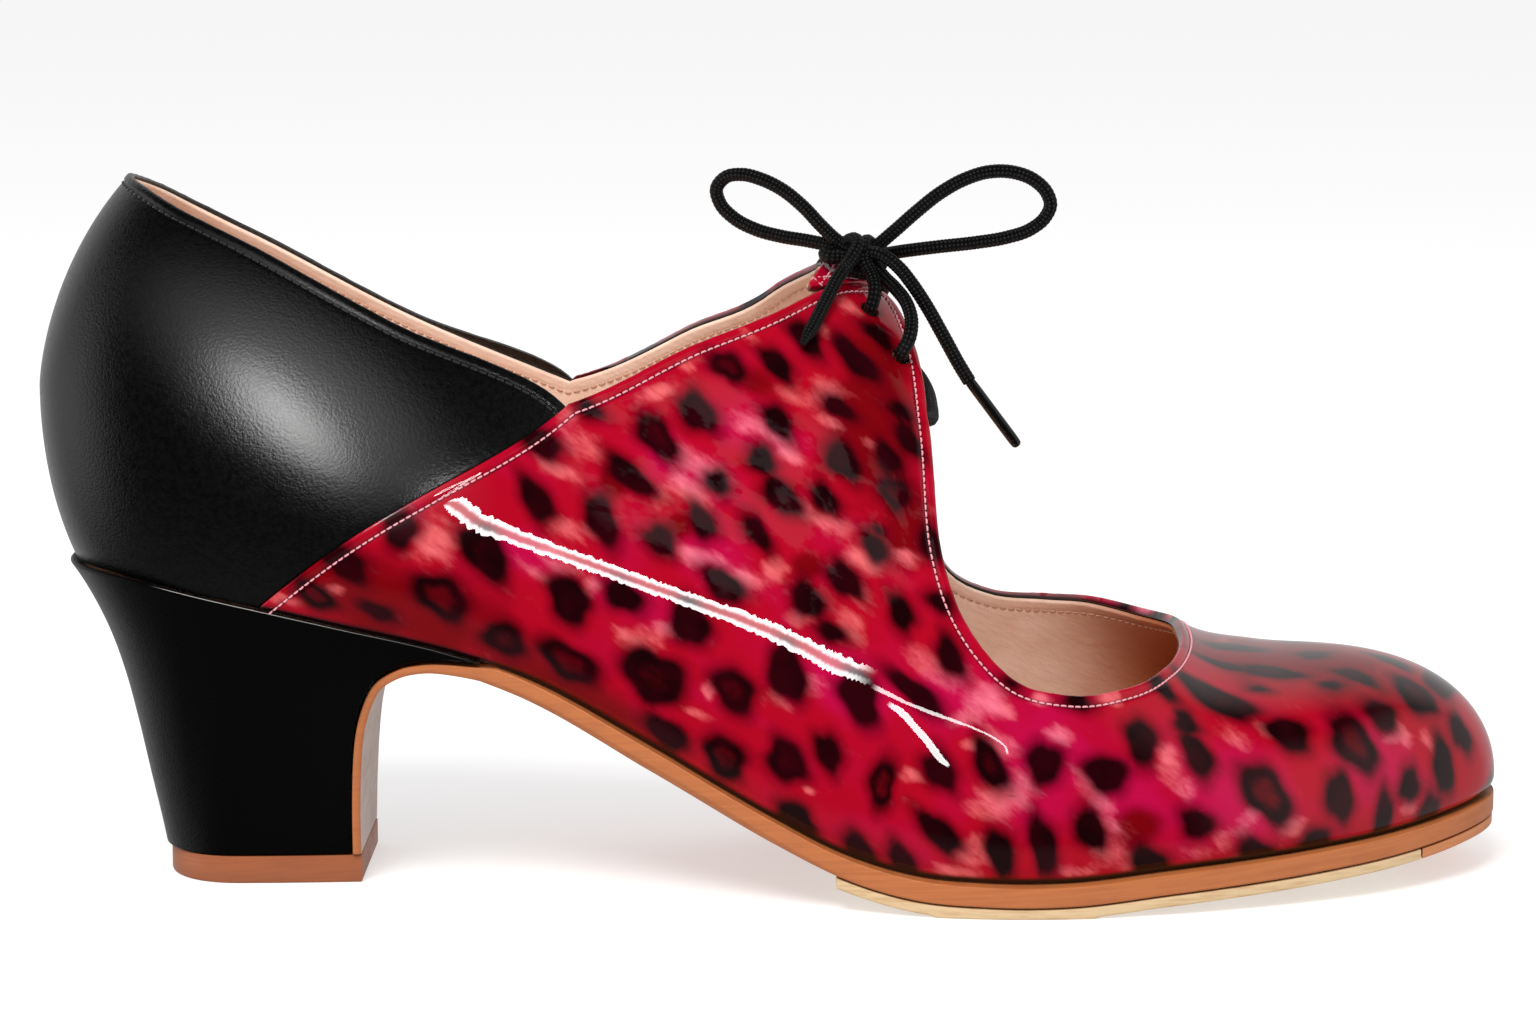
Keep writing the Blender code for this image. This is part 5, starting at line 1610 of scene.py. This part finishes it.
def slab_rings(xs, sides, top, bottom, chamfer):
    """Sections of a flat piece whose lower edges are cut back, with soft corners."""
    rings = []
    for x, lateral, medial, high, low, cut in zip(xs, *sides, top, bottom, chamfer):
        cut_in = min(cut, CHAMFER_MOST * (medial - lateral))
        corners = (
            (x, lateral, high),
            (x, medial, high),
            (x, medial, low + cut),
            (x, medial - cut_in, low),
            (x, lateral + cut_in, low),
            (x, lateral, low + cut),
        )
        rings.append(rounded_ring(corners))
    return rings


def under_line(x):
    """Underside of the outsole."""
    return feather(x) - GAP - straight_rows(x, OUTSOLE_THICK)


def offset_line(rows, distance):
    """A line in the XZ plane moved to its forward and lower side."""
    rows = np.asarray(rows, float)
    along = heading(rows)
    return rows + np.stack([-along[:, 1], along[:, 0]], 1) * np.asarray(distance).reshape(-1, 1)


def breast_line(steps):
    """The front of the heel from the top down, read at even steps, and each step's row number."""
    rows = np.array(BREAST_ROWS)
    number = np.linspace(0, len(rows) - 1, steps)
    index = np.arange(len(rows))
    return np.stack([smooth(index, rows[:, 0])(number), smooth(index, rows[:, 1])(number)], 1), number


def flap_rings():
    """Sections of the outsole's flap down the front of the heel, from the top down."""
    rows, number = breast_line(FLAP_STEPS)
    inner = offset_line(rows, GAP)
    face = offset_line(rows, GAP + FLAP_THICK + FLAP_SWELL * np.exp(-number / FLAP_SWELL_ROWS))
    bevel = inner + FLAP_BEVEL_START * (face - inner)
    share = (rows[0, 1] - np.minimum(rows[:, 1], rows[0, 1])) / (rows[0, 1] - rows[-1, 1])
    lateral, medial = feather_sides(rows[:, 0], FLAP_MARGIN, INSOLE_BACK, SOLE_TIP)
    turn = share**FLAP_EASE
    lefts = lateral * (1 - turn) - FLAP_END_HALF * turn
    rights = medial * (1 - turn) + FLAP_END_HALF * turn
    rings = []
    for (x, z), (bevel_x, bevel_z), (face_x, face_z), left, right in zip(inner, bevel, face, lefts, rights):
        corners = (
            (x, left, z),
            (x, right, z),
            (bevel_x, right, bevel_z),
            (face_x, right - FLAP_BEVEL, face_z),
            (face_x, left + FLAP_BEVEL, face_z),
            (bevel_x, left, bevel_z),
        )
        rings.append(rounded_ring(corners))
    return rings


def floor_line(x):
    """Underside of the half sole and toe plate: flat under the ball, then up with the toe."""
    low = under_line(x) - GAP - UNDER_THICK
    start, end = BALL_FLAT
    return np.where((x >= start) & (x <= end), 0.0, np.maximum(low, 0.0))


def even(start, end, step=SOLE_STEP):
    return np.linspace(start, end, max(2, int(abs(end - start) / step)))


def is_flap_face(face):
    """Whether a face of the outsole is on the front of its flap, or under the turn into the waist."""
    way = face.normal
    level = abs(way.y) < FLAP_FACE["across"] and way.z < FLAP_FACE["up"]
    forward = way.x > FLAP_FACE["ahead"] or way.z < FLAP_FACE["down"]
    return level and forward and to_last(face.center)[0] < OUTSOLE_TURN + FLAP_FACE["past"]


def add_outsole(tan, flap_face):
    xs = np.concatenate([even(OUTSOLE_TURN, TOE_CENTRE), toe_stations(SOLE_TIP)])
    sides = feather_sides(xs, SOLE_MARGIN, HEEL_BACK, SOLE_TIP)
    turn = np.clip((xs - WAIST_FRONT) / (OUTSOLE_TURN - WAIST_FRONT), 0, 1)
    sides = tuple(side * (1 - WAIST_TURN_IN * turn**2) for side in sides)
    top, low = feather(xs) - GAP, under_line(xs)
    rings = slab_rings(xs, sides, top, low, straight_rows(xs, OUTSOLE_CHAMFER))
    obj = add_mesh("sole", *lofted(flap_rings()[::-1] + rings), sharp=40.0)
    dress(obj, tan, "tan_sole_leather", "outsole")
    obj.data.materials.append(flap_face)
    for face in obj.data.polygons:
        if is_flap_face(face):
            face.material_index = 1


def add_under(name, node, xs, material, slot):
    sides = feather_sides(xs, SOLE_MARGIN - UNDER_INSET, HEEL_BACK, SOLE_TIP - UNDER_INSET)
    cuts = np.full(len(xs), UNDER_CHAMFER)
    rings = slab_rings(xs, sides, under_line(xs) - GAP, floor_line(xs), cuts)
    dress(add_mesh(name, *lofted(rings), sharp=40.0), material, slot, node)


def add_sock(nude):
    middle = even(HEEL_CENTRE, TOE_CENTRE)[1:]
    xs = np.concatenate([heel_stations(INSOLE_BACK), middle, toe_stations(INSOLE_TIP)])
    sides = feather_sides(xs, -(WALL + INSOLE_INSET), INSOLE_BACK, INSOLE_TIP)
    low = feather(xs)
    rings = slab_rings(xs, sides, low + INSOLE_THICK, low, np.full(len(xs), INSOLE_CHAMFER))
    obj = add_mesh("sock", *lofted(rings), sharp=40.0)
    # Painted shade towards the toe, kept on the points as "toe"
    set_value(obj, "toe", ease(places_of(obj)[:, 0], *TOE_PAINTED_SHADE))
    dress(obj, nude, "nude_lining_leather", "insole")


def unit_profile(rows):
    """Line from its lower end (0, 0) to its upper end (1, 1), read at even steps along it."""
    rows = np.asarray(rows, float)[::-1]
    steps = np.linalg.norm(np.diff(rows, axis=0), axis=1)
    along = np.concatenate([[0], np.cumsum(steps)]) / steps.sum()
    shares = (rows - rows[0]) / (rows[-1] - rows[0])
    return smooth(along, shares[:, 0]), smooth(along, shares[:, 1])


def seat_outline(t):
    """Top of the heel from its front corner (0) to the back (1) on one side: x, and share of the width."""
    front, back = BREAST_ROWS[0][0], HEEL_BACK_ROWS[0][0]
    length, arc = front - SEAT_TURN, SEAT_TURN - back
    split = length / (length + SEAT_ARC_WEIGHT * arc)
    if t < split:
        return front - length * t / split, 1.0
    turn = (t - split) / (1 - split) * math.pi / 2
    power = 2 / SEAT_ROUND
    return SEAT_TURN - arc * math.sin(turn) ** power, max(math.cos(turn), 0.0) ** power


def lift_outline(t):
    """Foot of the heel from its front corner (0) round to the back (1): x, and share of the width."""
    front, back = BREAST_ROWS[-1][0], HEEL_BACK_ROWS[-1][0]
    middle = (front + back) / 2 - LIFT_TURN_BACK
    if t < LIFT_SPLIT:
        share = t / LIFT_SPLIT
        wide = LIFT_FRONT_SHARE + (1 - LIFT_FRONT_SHARE) * math.sin(share * math.pi / 2)
        return front + (middle - front) * share, wide
    turn = (t - LIFT_SPLIT) / (1 - LIFT_SPLIT) * math.pi / 2
    power = 2 / LIFT_ROUND
    return middle - (middle - back) * math.sin(turn) ** power, max(math.cos(turn), 0.0) ** power


def heel_columns(side):
    """Columns of the heel's side from the front corner to the back, each from its foot up to the seat."""
    front_x, front_z = unit_profile(BREAST_ROWS)
    back_x, back_z = unit_profile(HEEL_BACK_ROWS)
    share = np.linspace(0, 1, HEEL_LEVELS)
    columns = []
    for t in np.linspace(0, 1, HEEL_SIDE_STEPS):
        top_x, top_wide = seat_outline(t)
        foot_x, foot_wide = lift_outline(t)
        ends = feather_sides(np.array([max(top_x, HEEL_CENTRE)]), SEAT_RIM, HEEL_BACK, SOLE_TIP)
        top_y = abs(float(ends[0 if side == "lateral" else 1][0])) * top_wide
        foot_y = LIFT_HALF_WIDTH * foot_wide
        top_z, foot_z = float(feather(top_x)) - GAP, BREAST_ROWS[-1][1]
        back = t**BACK_EASE
        x_share = front_x(share) * (1 - back) + back_x(share) * back
        z_share = front_z(share) * (1 - back) + back_z(share) * back
        x = foot_x + (top_x - foot_x) * x_share
        z = foot_z + (top_z - foot_z) * z_share
        y = foot_y + (top_y - foot_y) * z_share**WIDTH_EASE
        columns.append(np.stack([x, SIDE_SIGN[side] * y, z], 1))
    return np.array(columns)


def add_heel(leather):
    """The covered heel, with its front hidden by the outsole's flap and a soft edge round the top."""
    ring = np.concatenate([heel_columns("lateral"), heel_columns("medial")[:-1][::-1]])
    top = ring[:, -1]
    inward = unit((HEEL_AXIS - top) * (1, 1, 0))
    below = unit(ring[:, -2] - top)
    soft = []
    for turn in np.linspace(0, math.pi / 2, HEEL_BEVEL_STEPS):
        soft.append(top + HEEL_BEVEL * ((1 - math.sin(turn)) * below + (1 - math.cos(turn)) * inward))
    rings = np.concatenate([ring[:, :-1], np.stack(soft, 1)], 1).transpose(1, 0, 2)
    obj = add_mesh("heel_cover", *lofted(rings), sharp=45.0)
    # Painted highlight: a light line on the middle ring of the top bevel, kept on the points as "rim"
    painted_highlight = np.zeros(rings.shape[:2])
    painted_highlight[HEEL_LEVELS - 1 + HEEL_BEVEL_STEPS // 2] = ease(top[:, 0], *RIM_HIGHLIGHT_FADE)
    set_value(obj, "rim", painted_highlight.ravel())
    dress(obj, leather, "black_leather", "heel_block")


def add_lift(tan):
    outline = []
    forward = LIFT_FRONT - BREAST_ROWS[-1][0]
    for t in np.linspace(0, 1, LIFT_STEPS):
        x, wide = lift_outline(t)
        x = x + forward * max(0.0, 1 - t / LIFT_SPLIT) + LIFT_BACK_INSET * t
        outline.append((x, -(LIFT_HALF_WIDTH * wide + LIFT_RIM * (1 - t**LIFT_RIM_POWER))))
    outline = outline[:-1] + [(outline[-1][0], 0.0)] + [(x, -y) for x, y in outline[-2::-1]]
    outline = np.array(outline)
    inward = unit(LIFT_MIDDLE - outline)
    rings = []
    for z, inset in LIFT_LEVELS:
        level = outline + inward * inset
        rings.append(np.column_stack([level, np.full(len(level), z)]))
    dress(add_mesh("heel_lift", *lofted(rings), sharp=40.0), tan, "tan_sole_leather", "top_lift")


def add_bottom():
    tan = sole_leather("sole_edge", TAN, TAN_DARK, gloss=0.42)
    flap_face = sole_leather("breast_face", FLAP_BROWN, FLAP_DARK, gloss=0.5)
    add_outsole(tan, flap_face)
    start, end = BALL_FLAT
    behind, ahead = even(HALF_SOLE_BACK, start)[:-1], even(end, HALF_SOLE_FRONT)[1:]
    xs = np.concatenate([behind, even(start, end), ahead])
    add_under("rubber_half_sole", "half_sole", xs, pale_rubber(), "pale_rubber")
    tip = toe_stations(SOLE_TIP - UNDER_INSET)
    back = HALF_SOLE_FRONT + GAP
    xs = np.concatenate([[back], tip[tip > back + GAP]])
    tip_leather = sole_leather("toe_tip_leather", TAN_LIGHT, TAN, gloss=0.45)
    add_under("toe_tip", "toe_plate", xs, tip_leather, "tan_sole_leather")
    add_sock(nude_leather())
    add_heel(black_leather("heel_leather", roughness=0.33, grain=0.4, light=0.0, shine=0.2))
    add_lift(sole_leather("lift_leather", LIFT_BROWN, LIFT_DARK, gloss=0.42))


add_bottom()

# Studio: a white floor and dome for soft light, a key light, and strips and panels that only gloss sees
FLOOR_HALF, FLOOR_GLOW = 30.0, 0.5
DOME_BRIGHT, GLOSS_DARK = 0.72, 0.02

# Pale panes that gloss sees in the dark dome: axis, where it begins, where it is full, brightness
GLOSS_PANES = (
    ("X", 0.5, 0.85, 0.42),
    ("X", -0.8, -0.97, 0.9),
    ("Y", 0.2, 0.7, 0.6),
    ("Z", -0.48, -0.6, 0.12),
)
FLOOR_GREY, WHITE, NO_COLOUR = colour(200, 200, 200), (1.0, 1.0, 1.0, 1.0), (0.0, 0.0, 0.0, 1.0)
KEY = {"place": (-0.3, -1.0, 1.3), "aim": (0.0, 0.0, 0.06), "size": 0.8, "watts": 22.0}
STRIP_DISTANCE = 18.0
STRIPS = (
    {
        "name": "strip_side",
        "line": (
            (440, 498), (456, 505), (483, 523), (543, 546), (594, 564), (645, 583), (692, 600), (754, 623),
            (801, 644), (836, 663), (877, 678),
        ),
        "half": (3, 10, 10, 7, 7, 7, 7, 8, 9, 10, 8),
        "strength": 26.0,
        "hollow": 0.18,
    },
    {
        "name": "strip_crease",
        "line": ((872, 685), (906, 702), (943, 716), (970, 727), (1000, 743), (1006, 753)),
        "half": (2.6, 1.5, 0.8, 0.5, 0.5, 0.9),
        "strength": 18.0,
        "hollow": 1.0,
    },
    {
        "name": "strip_ball",
        "line": ((888, 702), (907, 717), (925, 738), (940, 757), (950, 766)),
        "half": (2, 4, 3.6, 3, 1.5),
        "strength": 24.0,
        "hollow": 0.9,
    },
)
STRIP_ACROSS, STRIP_ALONG, STRIP_EVEN, STRIP_RAGGED, STRIP_SEED = 13, 200, 4, 0.2, 3
STRIP_EDGE_FADE, STRIP_END_FADE = (0.25, 0.6), (0.0, 0.06)
PANELS = (
    {"name": "panel_quarter", "middle": (283, 415), "half": (118, 38), "tilt": 43.0, "full": 0.0,
     "distance": 12.0, "strength": 13.0, "patches": 0.0},
    {"name": "panel_collar", "middle": (300, 392), "half": (235, 98), "tilt": 36.0, "full": 0.0,
     "distance": 12.0, "strength": 2.2, "patches": 0.0},
    {"name": "panel_wing", "middle": (740, 492), "half": (205, 105), "tilt": 24.0, "full": 0.85,
     "distance": 30.0, "strength": 0.36, "patches": 8.0},
)
PANEL_RINGS, PANEL_TURNS, PANEL_CORE, PANEL_PATCHES = 8, 48, 0.02, (0.46, 0.54)

# Ribs and levels of the coarse nets that reflect the strips and panels
VAMP_NET, QUARTER_NET = (60, 24), (30, 24)


def add_floor():
    bpy.ops.mesh.primitive_plane_add(size=2 * FLOOR_HALF)
    floor = bpy.context.object
    floor.name = "floor"
    look = Look("floor_white", FLOOR_GREY, roughness=0.9, Specular_IOR_Level=0.0)
    look.feed("Emission Color", WHITE)
    look.feed("Emission Strength", FLOOR_GLOW)
    floor.data.materials.append(look.material)
    floor.visible_glossy = False


def add_dome():
    """A white dome for soft light. Gloss sees it dark, as behind black cards, but for some pale panes."""
    world = bpy.data.worlds.new("studio")
    bpy.context.scene.world = world
    world.cycles.sampling_method = "NONE"
    sky = Nodes(world)
    way = sky.node("ShaderNodeTexCoord").outputs["Generated"]
    parts = sky.node("ShaderNodeSeparateXYZ", (way,)).outputs
    gloss = GLOSS_DARK
    for axis, start, end, bright in GLOSS_PANES:
        gloss = sky.math("MAXIMUM", gloss, sky.span(parts[axis], start, end, high=bright))
    kind = sky.node("ShaderNodeLightPath").outputs["Is Glossy Ray"]
    strength = sky.node("ShaderNodeMapRange", (kind, 0.0, 1.0, DOME_BRIGHT, gloss)).outputs[0]
    background = sky.tree.nodes["Background"]
    sky.give(background.inputs["Color"], WHITE)
    sky.give(background.inputs["Strength"], strength)


def glow_look(name, strength, patches):
    """A clear glow that follows the level kept on the mesh's points, in patches of a size if not 0."""
    look = Look(name, NO_COLOUR, roughness=1.0)
    level = look.value("level")
    if patches:
        broken = look.span(look.noise((patches, patches, patches)), *PANEL_PATCHES)
        level = look.math("MULTIPLY", level, broken)
    glow = look.node("ShaderNodeEmission", (None, look.math("MULTIPLY", level, strength)))
    clear = look.node("ShaderNodeBsdfTransparent")
    both = look.node("ShaderNodeAddShader", (glow.outputs[0], clear.outputs[0]))
    look.give(look.tree.nodes["Material Output"].inputs["Surface"], both.outputs[0])
    look.tree.nodes.remove(look.shader)
    return look.material


def glossy_light(name, points, faces, levels, strength, patches=0.0):
    """A glowing sheet that is seen in reflections alone."""
    obj = add_mesh(name, points, faces)
    set_value(obj, "level", levels)
    obj.data.materials.append(glow_look(name, strength, patches))
    obj.visible_camera = obj.visible_diffuse = obj.visible_shadow = False
    obj.visible_transmission = obj.visible_volume_scatter = False


def reflected(skin, px, py, distance):
    """Where the camera looks, at a distance past the surface that it sees reflecting at a pixel."""
    point, way = skin.hit(px, py)
    ray = photo_ray(px, py)
    return point + distance * (ray - 2 * (ray @ way) * way)


def add_strip(skin, name, line, half, strength, hollow):
    """A ribbon that the shoe reflects along a line of pixels, brightest at its two edges."""
    line = np.array(line, float)
    t = np.linspace(0, len(line) - 1, STRIP_ALONG)
    index = np.arange(len(line))
    middle = np.stack([smooth(index, line[:, k])(t) for k in range(2)], 1)
    width = np.interp(t, index, half)
    ahead = heading(middle)
    side = np.stack([-ahead[:, 1], ahead[:, 0]], 1)
    offsets = np.linspace(-1, 1, STRIP_ACROSS)
    pixels = middle[:, None] + side[:, None] * (width[:, None] * offsets)[..., None]
    sheet = np.array([[reflected(skin, *pixel, STRIP_DISTANCE) for pixel in row] for row in pixels])
    beside = np.arange(-STRIP_EVEN, STRIP_EVEN + 1)
    rows = np.clip(np.arange(STRIP_ALONG)[:, None] + beside, 0, STRIP_ALONG - 1)
    sheet = np.median(sheet[rows], axis=1)
    ragged = 1 + STRIP_RAGGED * np.random.default_rng(STRIP_SEED).uniform(-1, 1, (STRIP_ALONG, 2))
    stretch = np.where(offsets > 0, ragged[:, 1:], ragged[:, :1])[..., None]
    centre = sheet[:, STRIP_ACROSS // 2][:, None]
    sheet = centre + (sheet - centre) * stretch
    ends = np.minimum(np.linspace(0, 1, STRIP_ALONG), np.linspace(1, 0, STRIP_ALONG))
    edges = hollow + (1 - hollow) * ease(np.abs(offsets), *STRIP_EDGE_FADE)
    levels = ease(ends, *STRIP_END_FADE)[:, None] * edges
    glossy_light(name, sheet.reshape(-1, 3), grid_faces(STRIP_ALONG, STRIP_ACROSS), levels.ravel(), strength)


def add_panel(skin, name, middle, half, tilt, full, distance, strength, patches):
    """A soft patch of light that the shoe reflects over an ellipse of pixels, full in its middle."""
    cos, sin = math.cos(math.radians(tilt)), math.sin(math.radians(tilt))
    points, levels = [], []
    for angle in np.linspace(0, 2 * math.pi, PANEL_TURNS + 1):
        for radius in np.linspace(PANEL_CORE, 1, PANEL_RINGS):
            u, v = half[0] * radius * math.cos(angle), half[1] * radius * math.sin(angle)
            px = middle[0] + u * cos - v * sin
            py = middle[1] + u * sin + v * cos
            points.append(reflected(skin, px, py, distance))
            levels.append(float(ease(radius, 1.0, full)))
    glossy_light(name, np.array(points), grid_faces(PANEL_TURNS + 1, PANEL_RINGS), levels, strength, patches)


def add_key():
    """A soft lamp high at the left, in front. Gloss doesn't see it."""
    data = bpy.data.lights.new("key", "AREA")
    data.shape, data.size, data.energy = "DISK", KEY["size"], KEY["watts"]
    lamp = bpy.data.objects.new("key", data)
    lamp.location = KEY["place"]
    lamp.rotation_euler = (Vector(KEY["aim"]) - Vector(KEY["place"])).to_track_quat("-Z", "Y").to_euler()
    lamp.visible_glossy = False
    bpy.context.scene.collection.objects.link(lamp)


def add_studio():
    add_floor()
    add_dome()
    add_key()
    vamp = both_sides(VAMP_EDGE, *VAMP_NET, at_toe=True)
    quarter = both_sides(QUARTER_EDGE, *QUARTER_NET, at_heel=True)
    skin = Skin(*vamp, *quarter)
    for strip in STRIPS:
        add_strip(skin, **strip)
    for panel in PANELS:
        add_panel(skin, **panel)
    bpy.context.scene.view_settings.view_transform = "Standard"


add_studio()
